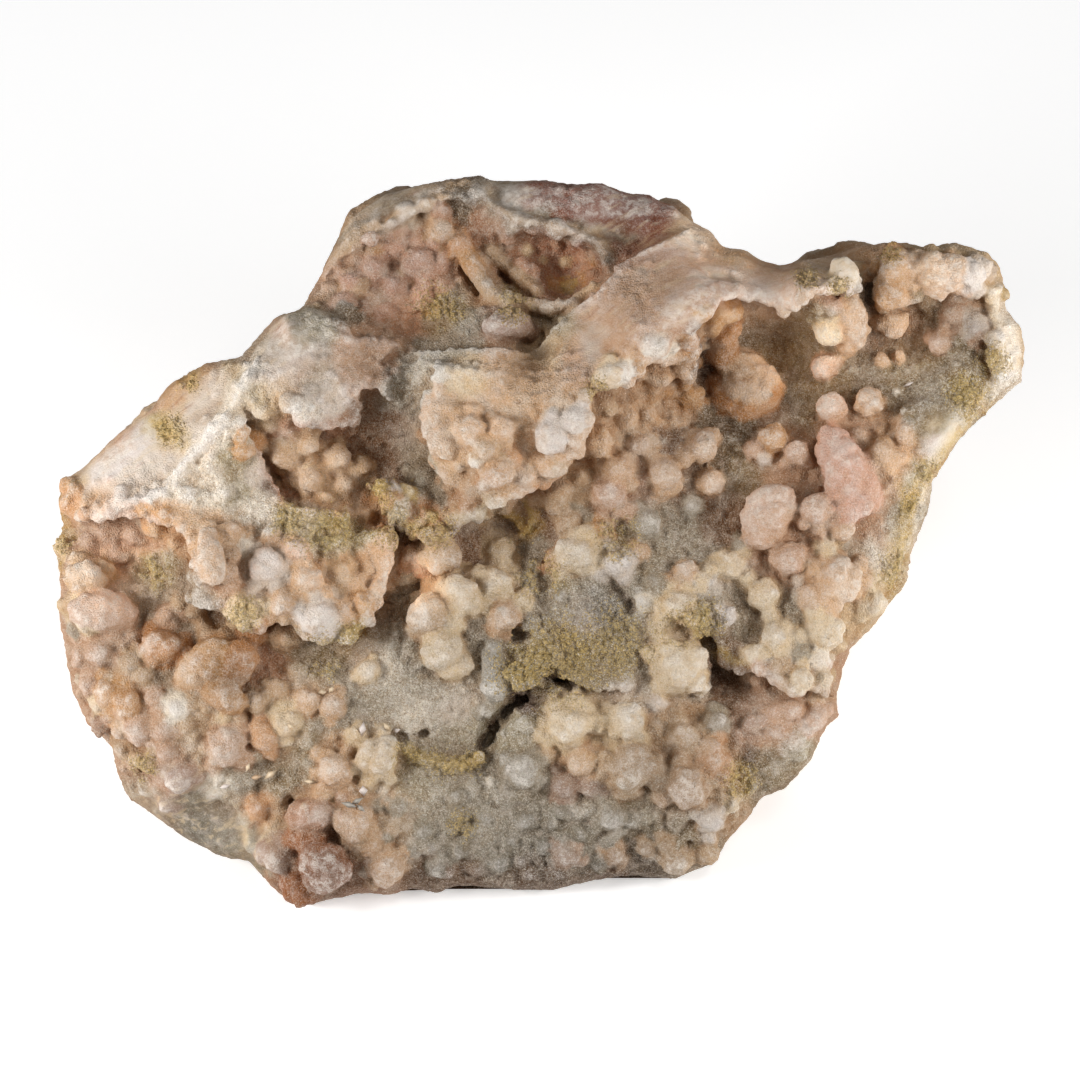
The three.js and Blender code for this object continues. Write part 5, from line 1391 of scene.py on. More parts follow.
    def build(self) -> bpy.types.Object:
        """Builds the stone's mesh."""
        body = self.body()
        centres, radii = self.grown()
        centres = self.relief.frame.to_part(*centres.T)
        large, small = radii > self.large, radii < self.small
        balls = [
            Ball(fineness).copies(name, centres[chosen], radii[chosen])
            for fineness, name, chosen in (
                (4, "lumps", large), (3, "knobs", ~(large | small)), (2, "crumbs", small),
            )
        ]
        LOG.info("lumps: %d, balls: %d", len(self.lumps), len(radii))
        stone = join([body, *balls])
        apply_modifier(stone, "REMESH", mode="VOXEL", voxel_size=self.voxel * MM)
        LOG.info("fused: %d faces", len(stone.data.polygons))
        apply_modifier(stone, "SMOOTH", factor=0.5, iterations=1)
        self.roughen(stone)
        cut_away(stone, np.zeros(3), DOWN)
        self.thin(stone)
        make_active(stone)
        bpy.ops.object.shade_smooth()
        bpy.ops.object.shade_smooth_by_angle(angle=math.radians(70))
        _, _, c = self.relief.frame.from_part(read_points(stone) / MM)
        in_front = int((c > FACE_START).sum())
        LOG.info("stone: %d triangles, %d points in front", len(stone.data.polygons), in_front)
        return stone

    def thin(self, stone: bpy.types.Object) -> None:
        """Brings the fused mesh down to its budget of triangles, first behind the face."""
        _, _, c = self.relief.frame.from_part(read_points(stone) / MM)
        rear = smoothstep(-c, 10, 18)
        weigh(stone, "rear", rear)
        kept = 1 - self.rear_thrift * float(np.mean(rear > 0.5))
        apply_modifier(
            stone, "DECIMATE", ratio=kept, vertex_group="rear", vertex_group_factor=self.rear_pull
        )
        share = self.budget / (len(stone.data.loops) - 2 * len(stone.data.polygons))
        LOG.info("rear thinned: %.3f kept, then %.3f", kept, share)
        if share < 1:
            apply_modifier(stone, "DECIMATE", ratio=share)
        apply_modifier(stone, "TRIANGULATE")

    def roughen(self, stone: bpy.types.Object) -> None:
        """Roughens the fused surface, lumpy ground most and the base not at all."""
        points = read_points(stone)
        a, b, c = self.relief.frame.from_part(points / MM)
        above = smoothstep(points[:, 2] / MM, 0.5, 3.0)
        front = smoothstep(c, -14, -4)
        lumpy = front * (1 - 0.85 * near(SMOOTH, a, b))
        for name, shares in (
            ("lumpy", above * lumpy), ("broken", above * (1 - 0.6 * front)),
            ("back", above * (1 - front)), ("all", above), ("smooth", 1 - lumpy),
            ("dusted", front * near(DUSTED, a, b)),
        ):
            weigh(stone, name, shares)
        apply_modifier(stone, "SMOOTH", factor=0.5, iterations=14, vertex_group="smooth")
        for pattern in ROUGHNESS:
            displace(stone, *pattern)


WEIGHT_STEPS = 12  # how many different weights a vertex group has


def weigh(item: bpy.types.Object, name: str, shares: Array) -> None:
    """Gives an object a vertex group with the given weights."""
    group = item.vertex_groups.new(name=name)
    steps = np.clip(np.round(shares * WEIGHT_STEPS), 0, WEIGHT_STEPS).astype(int)
    for step in range(1, WEIGHT_STEPS + 1):
        group.add(np.flatnonzero(steps == step).tolist(), step / WEIGHT_STEPS, "REPLACE")


def displace(
    item: bpy.types.Object, kind: str, size: float, strength: float, group: str, middle: float
) -> None:
    """Moves a mesh's surface in and out by a procedural pattern.

    Args:
        item: The mesh object.
        kind: Kind of the pattern.
        size: Its size in millimetres.
        strength: How far it moves the surface, in millimetres.
        group: Vertex group that holds it back.
        middle: Value of the pattern that leaves the surface in place.
    """
    pattern = bpy.data.textures.new(f"{kind}_{size}", kind)
    pattern.noise_scale = size * MM
    if kind == "CLOUDS":
        pattern.noise_depth = 2
    apply_modifier(
        item, "DISPLACE", texture=pattern, texture_coords="LOCAL", strength=strength * MM,
        mid_level=middle, vertex_group=group,
    )


# ---------------------------------------------------------------- attributes of the surface

BANDS_ACROSS = (0.12, -0.35, 0.93)  # the way across the bands of the bare matrix
BAND, SWELL, FINE_BAND = 9, 23, 2.6  # distances from band to band, in millimetres
BAND_WANDER, RUST_PATCH = 18, 26  # sizes of the bands' bends and of the rusty patches, in millimetres
TINT_SHARE = 0.85  # how far lumps and streaks take on their own tint


@dataclass(frozen=True)
class Dresser:
    """Writes the colours and masks that the finish reads onto a mesh.

    Attributes:
        lumps: All lumps that have a tint of their own.
        relief: The face and the body behind it.
        cell: Side of a cell of the grid of heights, in millimetres.
        cells: How many cells the grid has, to the right and upwards.
        corner: The grid's lower left corner, in millimetres.
        lowest: Height below which a cell does not count, in millimetres.
    """

    lumps: tuple[Lump, ...]
    relief: Relief
    cell: float = 0.6
    cells: tuple[int, int] = (271, 211)
    corner: Place = (-80, -8)
    lowest: float = -14.0

    def hollowness(self, a: Array, b: Array, c: Array) -> Array:
        """How deep each point lies below its surroundings, from -1 to 1."""
        across = np.clip((a - self.corner[0]) / self.cell, 1, self.cells[0] - 2)
        upward = np.clip((b - self.corner[1]) / self.cell, 1, self.cells[1] - 2)
        top = np.full(self.cells, -99.0)
        np.maximum.at(top, (across.astype(int), upward.astype(int)), c)
        known = (top > self.lowest).astype(float)
        result = np.zeros(len(a))
        for reach, share in ((2, 0.55), (6, 0.45)):
            around = self.blurred(top * known, reach) / np.maximum(self.blurred(known, reach), 0.05)
            result += share * (self.sampled(around, across - 0.5, upward - 0.5) - c) / (0.55 * reach)
        return np.clip(result, -1, 1)

    @staticmethod
    def sampled(grid: Array, across: Array, upward: Array) -> Array:
        """Reads a grid of heights at places between its cells."""
        column, row = across.astype(int), upward.astype(int)
        x, y = across - column, upward - row
        left = grid[column, row] * (1 - y) + grid[column, row + 1] * y
        right = grid[column + 1, row] * (1 - y) + grid[column + 1, row + 1] * y
        return left * (1 - x) + right * x

    @staticmethod
    def blurred(grid: Array, reach: int) -> Array:
        """Blurs a grid of heights over some cells to each side."""
        width = 2 * reach + 1
        for axis in (0, 1) * 3:
            padded = np.pad(grid, [(reach, reach) if k == axis else (0, 0) for k in (0, 1)], "edge")
            total = np.cumsum(np.insert(padded, 0, 0, axis=axis), axis=axis)
            count = grid.shape[axis]
            upper = np.take(total, np.arange(width, width + count), axis=axis)
            grid = (upper - np.take(total, np.arange(0, count), axis=axis)) / width
        return grid

    def tints(self, points: Array) -> tuple[Array, Array, Array, Array]:
        """Works out colour, hollowness, bareness and grit at points given in millimetres."""
        a, b, c = self.relief.frame.from_part(points)
        off_a, off_b = (
            axis + 0.9 * noise.at(points, 2.2) + 0.4 * noise.at(points, 0.9)
            for axis, noise in ((a, Noise(21)), (b, Noise(22)))
        )
        ground = ground_tint(off_a, off_b)
        colour, grit = ground[:, :3], ground[:, 3]
        for tint, width, line in STREAKS:
            distance, _, inner = line.nearest(off_a, off_b)
            share = np.exp(-((distance / width) ** 2)) * np.maximum(inner, 0.35)
            share *= TINT_SHARE * (c > FACE_START)
            colour += share[:, None] * (np.array(tint.value) - colour)
        lump_a, lump_b, radius = np.array([(lump.a, lump.b, lump.radius) for lump in self.lumps]).T
        heights = self.relief.height(lump_a, lump_b) + lump_rise(lump_a, lump_b) * radius
        for lump, height in zip(self.lumps, heights):
            index = np.flatnonzero(np.abs(a - lump.a) + np.abs(b - lump.b) < 3 * lump.radius)
            across, upward, outward = a[index] - lump.a, b[index] - lump.b, c[index] - height
            away = np.sqrt(across**2 + upward**2 + outward**2)
            share = TINT_SHARE * (1 - smoothstep(away / lump.radius, 1.0, 1.16))
            colour[index] += share[:, None] * (np.array(lump.tint.value) - colour[index])
            grit[index] *= 1 - 0.75 * share
        patches = Noise(23).at(points, 2.6) + 0.6 * Noise(24).at(points, 1.1)
        pale = 0.34 * smoothstep(patches, 0.15, 1.0)
        warm = 0.34 * smoothstep(-patches, 0.1, 1.0)
        colour += pale[:, None] * (np.array(Tint.WHITE.value) * 0.9 - colour)
        colour *= 1 - warm[:, None] * (1 - np.array(Shade.TINGE.value))
        # painted light and shade, mixed with some of the crust's own tone
        colour *= tone_and_painted_light(a, b)[:, None]
        back = smoothstep(-c, 8, 16)
        colour += back[:, None] * (self.matrix(points) - colour)
        # the hollowness steers the painted shade and painted highlights of the crust
        hollow = self.hollowness(a, b, c) * (1 - back)
        bare = np.maximum(near(SMOOTH, a, b), back)
        return colour, hollow, bare, grit * (1 - bare)

    def matrix(self, points: Array) -> Array:
        """Colour of the bare banded matrix on the sides and the back."""
        wavy = points @ np.array(BANDS_ACROSS) + 2.2 * Noise(31).layered(points, BAND_WANDER)
        swell = 1.4 * np.sin(wavy * 2 * np.pi / SWELL)
        bands = 0.5 + 0.5 * np.sin(wavy * 2 * np.pi / BAND + swell)
        fine = 0.5 + 0.5 * np.sin(wavy * 2 * np.pi / FINE_BAND)
        pale, grey, dark, rust = (
            np.array(tint.value) for tint in (Tint.TAN, Tint.TAUPE, Tint.MOSS, Tint.RUST)
        )
        colour = grey + (0.75 * bands)[:, None] * (pale - grey)
        lines = 0.45 * smoothstep(fine, 0.72, 1.0) * smoothstep(bands, 0.9, 0.3)
        colour += lines[:, None] * (dark - colour)
        patch = smoothstep(Noise(33).layered(points, RUST_PATCH), 0.15, 0.8)
        return colour + (0.5 * patch)[:, None] * (rust - colour)

    def dress(self, item: bpy.types.Object) -> None:
        """Writes the attributes tint, hollow, bare and grit onto an object."""
        for name, values in zip(("tint", "hollow", "bare", "grit"), self.tints(read_points(item) / MM)):
            write_attribute(item, name, values)


def write_attribute(item: bpy.types.Object, name: str, values: Array) -> None:
    """Writes a colour or a number for each vertex onto an object."""
    mesh = item.data
    if values.ndim == 2:
        flat = np.ones((len(values), 4), np.float32)
        flat[:, :3] = values
        mesh.attributes.new(name, "FLOAT_COLOR", "POINT").data.foreach_set("color", flat.ravel())
    else:
        mesh.attributes.new(name, "FLOAT", "POINT").data.foreach_set("value", values.astype(np.float32))


# ---------------------------------------------------------------- loose crystals

# A crystal's four corners, in radii, and the corners of its four sides.
CRYSTAL_CORNERS = ((1, 0, -0.4), (-0.5, 0.87, -0.4), (-0.5, -0.87, -0.4), (0, 0, 0.6))
CRYSTAL_SIDES = ((0, 1, 3), (1, 2, 3), (2, 0, 3), (0, 2, 1))


class Grain(Enum):
    """Kinds of small crystals that coat the stone."""

    SUGAR = "sugar"
    FROST = "frost"
    DRUSE = "druse"
    SULFUR = "sulfur"


@dataclass
class Coat:
    """Small crystals of one kind, set over the stone as one mesh.

    Attributes:
        kind: Kind of the crystals.
        count: How many there are in the finished scene.
        size: Least and greatest radius, in millimetres.
        seed: Seed of their places.
        frosting: How white the whitest of them are, from 0 to 1.
        contrast: How much their brightness varies.
    """

    kind: Grain
    count: int
    size: tuple[float, float]
    seed: int
    frosting: float = 0.5
    contrast: float = 0.12

    def wanted(self, a: Array, b: Array, hollow: Array, bare: Array, grit: Array) -> Array:
        """How likely a crystal of this kind sits on each place."""
        if self.kind in (Grain.SUGAR, Grain.FROST):
            return (1 - 0.8 * bare) * (1 - 0.7 * grit) * smoothstep(-hollow, -0.5, 0.3)
        if self.kind is Grain.DRUSE:
            return (1 - 0.9 * bare) * (0.03 + grit)
        return near(DUSTED, a, b) * smoothstep(-hollow, -0.7, 0.2)

    def build(self, stone: bpy.types.Object, dresser: Dresser) -> bpy.types.Object:
        """Sets the crystals on the stone.

        Args:
            stone: The finished stone.
            dresser: Gives each crystal its colour.

        Returns:
            The object that holds them all.
        """
        chance = np.random.default_rng(self.seed)
        points = read_points(stone) / MM
        corners = read_triangles(stone)
        first, second, third = (points[corners[:, k]] for k in range(3))
        cross = np.cross(second - first, third - first)
        area = np.linalg.norm(cross, axis=1)
        colour = self.read(stone, "tint", "color", 4)[:, :3]
        masks = (self.read(stone, name, "value", 1)[:, 0] for name in ("hollow", "bare", "grit"))
        a, b, c = dresser.relief.frame.from_part(points)
        weight = self.wanted(a, b, *masks) * (c > FACE_START) * (points[:, 2] > 1.0)
        odds = area * weight[corners].mean(axis=1)
        count = int(self.count * (1.0))
        chosen = chance.choice(len(corners), count, p=odds / odds.sum())
        u, v = chance.uniform(0, 1, (2, count))
        flip = u + v > 1
        u, v = np.where(flip, 1 - u, u), np.where(flip, 1 - v, v)
        shares = np.stack((1 - u - v, u, v), axis=1)[:, :, None]
        centre, tint = ((shares * values[corners[chosen]]).sum(axis=1) for values in (points, colour))
        normal = cross[chosen] / area[chosen, None]
        return self.crystals(chance, centre, normal, self.paint(chance, tint))

    @staticmethod
    def read(stone: bpy.types.Object, name: str, key: str, width: int) -> Array:
        """Reads an attribute as a row of numbers for each vertex."""
        values = np.empty(len(stone.data.vertices) * width, np.float32)
        stone.data.attributes[name].data.foreach_get(key, values)
        return values.reshape(-1, width).astype(float)

    def paint(self, chance: np.random.Generator, tint: Array) -> Array:
        """Colour of each crystal from the colour of the place it sits on."""
        white, yellow = np.array(Tint.WHITE.value), np.array(Tint.YELLOW.value)
        share = chance.uniform(0, 1, len(tint))[:, None]
        if self.kind is Grain.SULFUR:
            return tint * 0.3 + yellow * 0.7 * (0.4 + 0.75 * share)
        pale = tint + (self.frosting * share**2) * (white - tint)
        return pale * (1 + self.contrast * chance.uniform(-1, 1, len(tint)))[:, None]

    def crystals(
        self, chance: np.random.Generator, centre: Array, normal: Array, tint: Array
    ) -> bpy.types.Object:
        """Makes the mesh of all crystals, each a three-sided point with its foot in the crust."""
        corners, sides = np.array(CRYSTAL_CORNERS), np.array(CRYSTAL_SIDES)
        count = len(centre)
        size = chance.uniform(*self.size, count)
        lean = normal + 0.35 * chance.normal(0, 1, (count, 3))
        lean /= np.linalg.norm(lean, axis=1)[:, None]
        side = np.cross(lean, chance.normal(0, 1, (count, 3)))
        side /= np.linalg.norm(side, axis=1)[:, None]
        other = np.cross(lean, side)
        stretch = chance.uniform(0.7, 1.25, (count, 3))
        axes = np.stack((side, other, lean), axis=1) * stretch[:, :, None] * size[:, None, None]
        placed = (centre[:, None] + np.einsum("kj,njd->nkd", corners, axes)).reshape(-1, 3)
        faces = (sides[None] + len(corners) * np.arange(count)[:, None, None]).reshape(-1, 3)
        item = build_object(f"specimen_{self.kind.value}", placed * MM, faces)
        write_attribute(item, "tint", np.repeat(tint, len(corners), axis=0))
        return item


COATS = (
    Coat(Grain.SUGAR, 49_000, (0.08, 0.17), 41, 0.2, 0.08),
    Coat(Grain.FROST, 49_000, (0.08, 0.17), 44, 0.2, 0.08),
    Coat(Grain.DRUSE, 49_000, (0.09, 0.18), 42, 0.5, 0.22),
    Coat(Grain.SULFUR, 30_000, (0.13, 0.34), 43),
)

# Thin blades lying loose on the crust: tint, place, length, width, turn and tip in degrees.
BLADES: tuple[tuple[Tint, float, float, float, float, float, float], ...] = (
    (Tint.LILAC, -27.3, 27.5, 2.4, 1.1, 82, 12), (Tint.CREAM, -23.6, 27.8, 1.7, 0.8, 125, 20),
    (Tint.LILAC, -22.2, 27.2, 1.5, 0.8, 20, 15), (Tint.SLATE, -29.4, 15.9, 2.6, 1.0, -15, 18),
    (Tint.SLATE, -28.2, 16.4, 2.3, 0.9, 30, 25), (Tint.SLATE, -27.6, 15.4, 1.8, 0.8, -40, 10),
    (Tint.LILAC, -27.2, 18.0, 1.7, 1.4, 95, 10), (Tint.CREAM, -33.6, 33.1, 1.5, 1.1, 8, 12),
    (Tint.CREAM, -32.2, 33.5, 1.3, 0.8, 55, 22), (Tint.CREAM, -41.6, 20.4, 2.6, 1.1, 35, 16),
    (Tint.TAN, -43.8, 20.0, 2.2, 0.9, 12, 20), (Tint.CREAM, -35.4, 19.4, 2.0, 0.8, -5, 14),
    (Tint.LILAC, 57.0, 80.7, 1.9, 0.5, 25, 8), (Tint.CREAM, -45.0, 21.6, 1.6, 0.7, 70, 18),
    (Tint.LILAC, -48.6, 18.6, 1.8, 0.8, 15, 10), (Tint.CREAM, -38.4, 28.0, 1.4, 0.7, -30, 12),
)


@dataclass(frozen=True)
class Blades:
    """Thin bladed crystals that lie loose on the crust, each a flat eight-sided body."""

    thickness: float = 0.3
    lift: float = 0.15

    def build(self, stone: bpy.types.Object, relief: Relief) -> bpy.types.Object:
        """Makes them all as one mesh, each resting on the stone under its place."""
        a, b, c = relief.frame.from_part(read_points(stone) / MM)
        points, tints = [], []
        for tint, place_a, place_b, length, width, turn, tip in BLADES:
            under = (np.hypot(a - place_a, b - place_b) < 0.45 * length) & (c > FACE_START)
            turn, tip = math.radians(turn), math.radians(tip)
            along = np.array((math.cos(turn), math.sin(turn), math.tan(tip)))
            across = np.array((-along[1], along[0], 0.0))
            middle = np.array((place_a, place_b, c[under].max() + self.lift))
            halves = (along * length / 2, across * width / 2, np.array((0, 0, self.thickness / 2)))
            shape = [sign * half for half in halves for sign in (1, -1)]
            points.append(relief.frame.to_part(*(middle + np.array(shape)).T))
            tints += [tint.value] * len(shape)
        corners = [
            (x, y, z) if (x + y + z) % 2 == 0 else (x, z, y)
            for x, y, z in itertools.product((0, 1), (2, 3), (4, 5))
        ]
        faces = np.array(corners) + 6 * np.arange(len(BLADES))[:, None, None]
        item = build_object("specimen_blades", np.concatenate(points) * MM, faces.reshape(-1, 3))
        write_attribute(item, "tint", np.array(tints))
        return item


# ---------------------------------------------------------------- finishes

Socket = bpy.types.NodeSocket


def new_material(name: str) -> tuple[bpy.types.Material, "Graph", bpy.types.Node]:
    """Adds a material and hands it over with its graph and its main shader."""
    material = bpy.data.materials.new(name)
    material.use_nodes = True
    return material, Graph(material.node_tree), material.node_tree.nodes["Principled BSDF"]


@dataclass
class Graph:
    """Short hand for adding and linking shader nodes."""

    tree: bpy.types.NodeTree

    def add(self, kind: str, **settings: object) -> bpy.types.Node:
        """Adds a node and sets its properties and inputs by name."""
        node = self.tree.nodes.new(kind)
        inputs = settings.pop("inputs", {})
        for name, value in settings.items():
            setattr(node, name, value)
        for name, value in inputs.items():
            self.feed(node.inputs[name], value)
        return node

    def feed(self, slot: Socket, value: object) -> None:
        """Links a socket to an input, or sets the input to a value."""
        if isinstance(value, Socket):
            self.tree.links.new(value, slot)
        else:
            slot.default_value = value

    def attribute(self, name: str, output: str = "Fac") -> Socket:
        """Reads an attribute of the mesh."""
        return self.add("ShaderNodeAttribute", attribute_name=name).outputs[output]

    def math(self, operation: str, first: object, second: object) -> Socket:
        """Adds a Math node."""
        return self.add("ShaderNodeMath", operation=operation, inputs={0: first, 1: second}).outputs[0]

    def times(self, first: Socket, second: object) -> Socket:
        """Multiplies two numbers."""
        return self.math("MULTIPLY", first, second)

    def plus(self, first: object, second: object) -> Socket:
        """Adds two numbers."""
        return self.math("ADD", first, second)

    def minus(self, first: object, second: object) -> Socket:
        """Takes the second number from the first."""
        return self.math("SUBTRACT", first, second)

    def paint(
        self, colour: Socket, paint: Tint | Shade, mask: Socket, low: float, high: float, strength: object
    ) -> Socket:
        """Lays a tint over a colour, or multiplies it by a shade, where a mask is high.

        Args:
            colour: The colour to paint on.
            paint: The tint or the shade.
            mask: Tells where the paint goes.
            low: Value of the mask at which the paint begins.
            high: Value of the mask at which the paint is at its full strength.
            strength: How much the paint covers there, from 0 to 1.

        Returns:
            The painted colour.
        """
        share = self.times(self.ramp(mask, low, high), strength)
        blend = "MULTIPLY" if isinstance(paint, Shade) else "MIX"
        node = self.add(
            "ShaderNodeMix", data_type="RGBA", blend_type=blend, clamp_factor=True,
            inputs={0: share, 6: colour, 7: (*paint.value, 1)},
        )
        return node.outputs[2]

    def ramp(self, value: Socket, low: float, high: float) -> Socket:
        """Maps low to high onto 0 to 1, smoothly."""
        node = self.add(
            "ShaderNodeMapRange", interpolation_type="SMOOTHSTEP",
            inputs={"Value": value, "From Min": low, "From Max": high},
        )
        return node.outputs[0]

    def noise(self, place: Socket, size: float, detail: float = 2.0) -> Socket:
        """Adds noise with waves of about the given size in millimetres."""
        node = self.add(
            "ShaderNodeTexNoise",
            inputs={"Vector": place, "Scale": 1 / (size * MM), "Detail": detail, "Roughness": 0.6},
        )
        return node.outputs["Fac"]

    def cells(self, place: Socket, size: float) -> bpy.types.Node:
        """Adds grains of about the given size in millimetres."""
        return self.add("ShaderNodeTexVoronoi", inputs={"Vector": place, "Scale": 1 / (size * MM)})


@dataclass(frozen=True)
class SpeckleGroup:
    """Node group that breaks a colour up into pale, warm and dark grains, with painted shade and painted
    glints on the finest grains and painted shade in the gaps between clots of druse.

    Attributes:
        grain: Size of the grains, in millimetres.
        chip: Size of the finer grains among them, in millimetres.
        clot: Size of the clots of druse, in millimetres.
        patch: Size of the warm and the ashen patches, in millimetres.
        cloud: Size of the frosted patches, in millimetres.
        streak: Width of the streaks on bare ground, in millimetres.
        slant: How the streaks are turned.
    """

    grain: float = 0.26
    chip: float = 0.17
    clot: float = 0.75
    patch: float = 1.4
    cloud: float = 6.0
    streak: float = 1.1
    slant: Spot = (math.radians(-40), 0, math.radians(-32))

    def tree(self) -> bpy.types.NodeTree:
        """Builds the group."""
        tree = bpy.data.node_groups.new("speckle", "ShaderNodeTree")
        for way, name, kind in (
            ("INPUT", "Colour", "Color"), ("INPUT", "Place", "Vector"), ("INPUT", "Grit", "Float"),
            ("INPUT", "Bare", "Float"), ("OUTPUT", "Colour", "Color"), ("OUTPUT", "Height", "Float"),
        ):
            tree.interface.new_socket(name, in_out=way, socket_type=f"NodeSocket{kind}")
        graph = Graph(tree)
        given = graph.add("NodeGroupInput")
        colour, place, grit, bare = (given.outputs[k] for k in ("Colour", "Place", "Grit", "Bare"))
        grains = graph.cells(place, self.grain)
        fine = graph.cells(place, self.chip)
        clots = graph.cells(place, self.clot)
        coarse = graph.noise(place, self.patch, 4)
        broad = graph.noise(place, self.cloud, 3)
        turned = graph.add(
            "ShaderNodeVectorRotate", rotation_type="EULER_XYZ",
            inputs={"Vector": place, "Rotation": self.slant},
        )
        drawn = graph.add(
            "ShaderNodeVectorMath", operation="MULTIPLY", inputs={0: turned.outputs[0], 1: (0.16, 1, 1)}
        )
        streaks = graph.noise(drawn.outputs[0], self.streak, 5)
        pick = graph.add("ShaderNodeSeparateColor", inputs={"Color": grains.outputs["Color"]}).outputs
        chip = graph.add("ShaderNodeSeparateColor", inputs={"Color": fine.outputs["Color"]}).outputs
        kept = graph.minus(1.0, graph.times(bare, 0.8))
        amount = graph.plus(graph.times(grit, 0.8), graph.minus(0.22, graph.times(bare, 0.12)))
        speckled = graph.times(amount, 0.42)
        painted_glint_share = graph.plus(graph.times(amount, 0.6), 0.06)
        painted_shade_share = graph.times(graph.plus(graph.times(amount, 0.7), 0.1), kept)
        gap_shade_share = graph.times(grit, 0.45)
        for paint, mask, low, high, strength in (
            # grains, each pale, dark or neither
            (Tint.WHITE, pick[0], 0.45, 1.0, speckled),
            (Shade.GRAIN, pick[1], 0.5, 1.0, speckled),
            # finer grains with painted shade and painted glints
            (Shade.CHIP, chip[1], 0.5, 1.0, painted_shade_share),
            (Tint.GLINT, chip[0], 0.5, 1.0, painted_glint_share),
            # painted shade in the gaps between clots of druse
            (Shade.GAP, clots.outputs["Distance"], 0.35, 0.75, gap_shade_share),
            # warm, ashen and frosted patches
            (Shade.WARM, coarse, 0.48, 0.72, 0.5),
            (Tint.LILAC, coarse, 0.5, 0.3, 0.3),
            (Tint.LILAC, broad, 0.55, 0.8, 0.3),
            # streaks over the bare ground
            (Shade.STREAK, streaks, 0.55, 0.72, graph.times(bare, 0.6)),
            (Tint.CREAM, streaks, 0.5, 0.34, graph.times(bare, 0.4)),
        ):
            colour = graph.paint(colour, paint, mask, low, high, strength)
        height = graph.times(graph.times(grains.outputs["Distance"], kept), -0.7)
        for rise in (
            graph.times(coarse, 0.8), graph.times(streaks, graph.times(bare, 0.8)),
            graph.times(clots.outputs["Distance"], graph.times(grit, -1.0)),
        ):
            height = graph.plus(height, rise)
        graph.add("NodeGroupOutput", inputs={"Colour": colour, "Height": height})
        return tree


@dataclass(frozen=True)
class CrustFinish:
    """Finish of the stone: tinted crust with painted shade in its hollows and on the flanks of its lumps,
    painted highlights on their tops, and drusy speckle.
    """

    name: str = "crust"
    roughness: float = 0.72
    gloss: float = 0.35

    def material(self) -> bpy.types.Material:
        """Builds the material."""
        material, graph, shader = new_material(self.name)
        place = graph.add("ShaderNodeTexCoord").outputs["Object"]
        hollow = graph.attribute("hollow")
        speckle = graph.add("ShaderNodeGroup", node_tree=SpeckleGroup().tree(), inputs={
            "Colour": graph.attribute("tint", "Color"), "Place": place,
            "Grit": graph.attribute("grit"), "Bare": graph.attribute("bare"),
        })
        # patches where the painted highlights on the lump tops are strongest
        highlight_caps = graph.times(graph.ramp(graph.noise(place, 1.2, 3), 0.44, 0.6), 0.36)
        colour = speckle.outputs["Colour"]
        # painted shade on the flanks and in the hollows, and painted highlights on the tops of the lumps
        for paint, low, high, strength in (
            (Shade.FLANK, -0.6, 0.0, 0.5), (Shade.HOLLOW, 0.05, 0.8, 0.66),
            (Tint.WHITE, -0.3, -0.9, graph.plus(highlight_caps, 0.1)),
        ):
            colour = graph.paint(colour, paint, hollow, low, high, strength)
        bump = graph.add("ShaderNodeBump", inputs={
            "Height": speckle.outputs["Height"], "Strength": 0.9, "Distance": 0.3 * MM,
        })
        graph.feed(shader.inputs["Base Color"], colour)
        graph.feed(shader.inputs["Normal"], bump.outputs["Normal"])
        shader.inputs["Roughness"].default_value = self.roughness
        shader.inputs["Specular IOR Level"].default_value = self.gloss
        return material


@dataclass(frozen=True)
class CrystalFinish:
    """Finish of the small crystals: each in its own tint, a little glossy."""

    name: str
    roughness: float

    def material(self) -> bpy.types.Material:
        """Builds the material."""
        material, graph, shader = new_material(self.name)
        place = graph.add("ShaderNodeTexCoord").outputs["Object"]
        tint, clouds = graph.attribute("tint", "Color"), graph.noise(place, 0.5)
        colour = graph.paint(tint, Tint.WHITE, clouds, 0.45, 0.8, 0.16)
        graph.feed(shader.inputs["Base Color"], colour)
        shader.inputs["Roughness"].default_value = self.roughness
        return material


# ---------------------------------------------------------------- the studio


# Soft lights: name, place and side of the square in metres, and power in watts.
LIGHTS: tuple[tuple[str, Spot, float, float], ...] = (
    ("right", (0.31, -0.13, 0.19), 0.16, 0.92),
    ("left", (-0.31, -0.13, 0.19), 0.16, 1.16),
    ("top", (0.6, -0.5, 2.0), 0.5, 6.2),
)


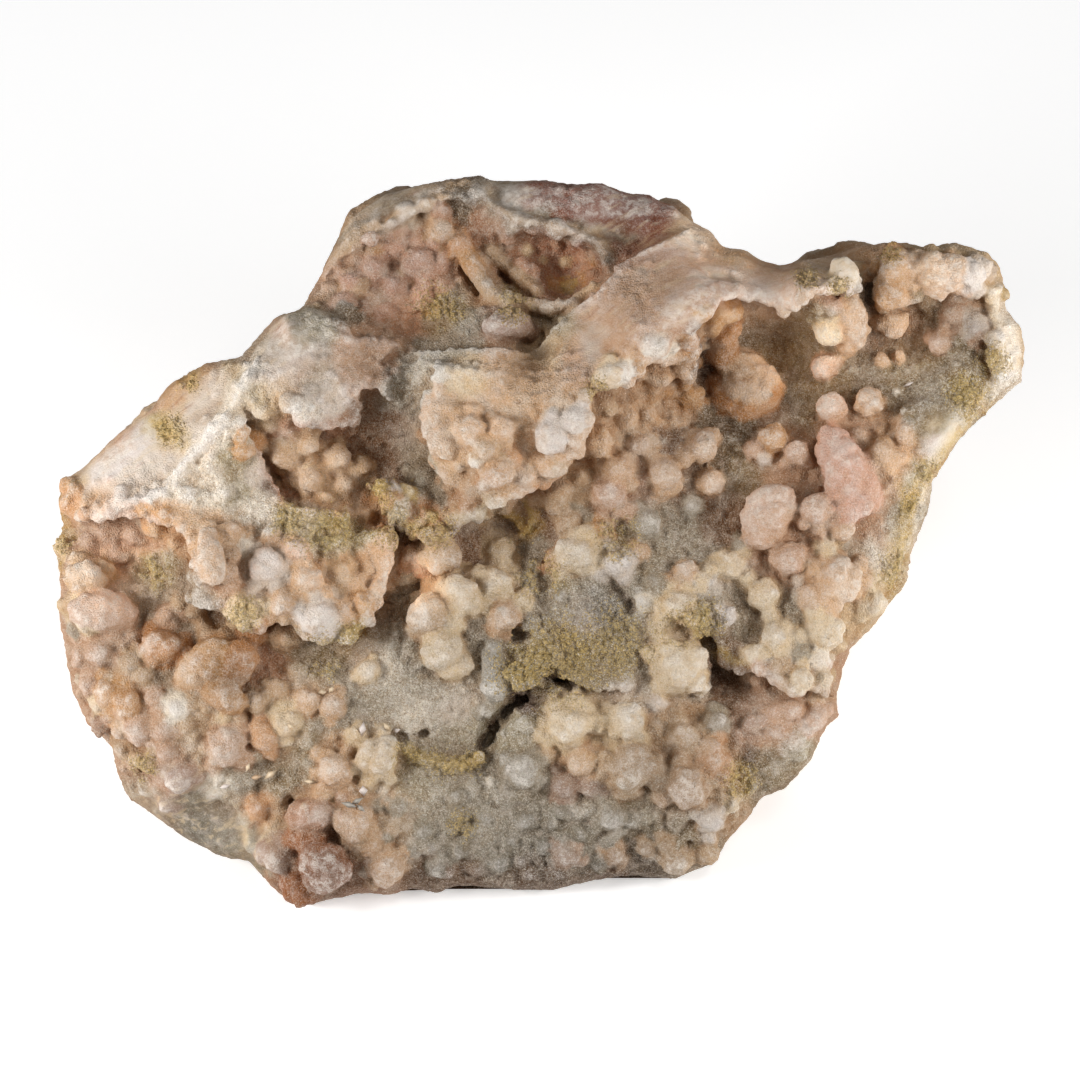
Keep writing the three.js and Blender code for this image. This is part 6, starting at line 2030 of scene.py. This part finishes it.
@dataclass(frozen=True)
class Studio:
    """Pale floor, soft lights and the camera in front of the face.

    Attributes:
        relief: The face that the camera looks at.
        distance: Distance of the camera from the face, in metres.
        frame_width: Width of the picture at that distance, in metres.
        aim: Place on the face in the middle of the picture, in millimetres.
        lit_at: Place that the lights look at, in metres.
        sensor: Width of the camera's sensor, in millimetres.
        floor_size: Side of the floor, in metres.
        sky: Strength of the even light from all sides.
    """

    relief: Relief
    distance: float = 1.5
    frame_width: float = 0.1674
    aim: Place = (0.0, 56.6)
    lit_at: Spot = (0, 0, 0.03)
    sensor: float = 36
    floor_size: float = 6
    sky: float = 0.12

    def floor(self) -> None:
        """Lays the plain pale floor."""
        deselect()
        bpy.ops.mesh.primitive_plane_add(size=self.floor_size)
        floor = bpy.context.active_object
        floor.name = "floor"
        material, graph, shader = new_material("floor")
        for name, value in (
            ("Base Color", (0.9, 0.9, 0.9, 1)), ("Roughness", 0.9),
            ("Emission Color", (1, 1, 1, 1)), ("Emission Strength", 0.40),
        ):
            graph.feed(shader.inputs[name], value)
        floor.data.materials.append(material)

    def light(self, name: str, place: Spot, size: float, power: float) -> None:
        """Adds a soft square light that looks at the stone."""
        data = bpy.data.lights.new(name, "AREA")
        data.size = size
        data.energy = power
        light = bpy.data.objects.new(name, data)
        light.location = place
        towards = Vector(self.lit_at) - Vector(place)
        light.rotation_euler = towards.to_track_quat("-Z", "Y").to_euler()
        bpy.context.scene.collection.objects.link(light)

    def camera(self) -> None:
        """Sets the camera square to the face."""
        frame = self.relief.frame
        target = Vector(frame.to_part(*np.array((*self.aim, 0.0))) * MM)
        out = Vector(frame.out)
        data = bpy.data.cameras.new("camera")
        data.sensor_width = self.sensor
        data.lens = self.sensor * self.distance / self.frame_width
        data.clip_start = 0.05
        camera = bpy.data.objects.new("camera", data)
        turn = Matrix((Vector((1, 0, 0)), Vector(frame.up), out)).transposed()
        camera.matrix_world = Matrix.Translation(target + out * self.distance) @ turn.to_4x4()
        bpy.context.scene.collection.objects.link(camera)
        bpy.context.scene.camera = camera

    def build(self) -> None:
        """Builds the whole studio."""
        scene = bpy.context.scene
        scene.view_settings.view_transform = "Standard"
        world = bpy.data.worlds.new("studio")
        world.use_nodes = True
        sky = world.node_tree.nodes["Background"]
        sky.inputs["Color"].default_value = (1, 1, 1, 1)
        sky.inputs["Strength"].default_value = self.sky
        scene.world = world
        self.floor()
        for light in LIGHTS:
            self.light(*light)
        self.camera()


def claim(piece: bpy.types.Object) -> None:
    """Makes a piece ride with the stone's body and stand for its solid."""
    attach(piece, "root")
    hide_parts("specimen")


def main() -> None:
    """Builds the specimen and its studio."""
    logging.basicConfig(level=logging.INFO, format="%(name)s: %(message)s")
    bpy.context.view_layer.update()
    relief = Relief()
    stone_maker = Stone(relief)
    stone = stone_maker.build()
    dresser = Dresser(tuple(stone_maker.lumps), relief)
    dresser.dress(stone)
    stone.data.materials.append(CrustFinish().material())
    claim(stone)
    pieces = [(coat.build(stone, dresser), coat.kind.value) for coat in COATS]
    pieces.append((Blades().build(stone, relief), "blade"))
    for piece, finish in pieces:
        piece.data.materials.append(CrystalFinish(finish, 0.45).material())
        claim(piece)
        LOG.info("%s: %d triangles", piece.name, len(piece.data.polygons))
    Studio(relief).build()


if __name__ == "__main__":
    main()
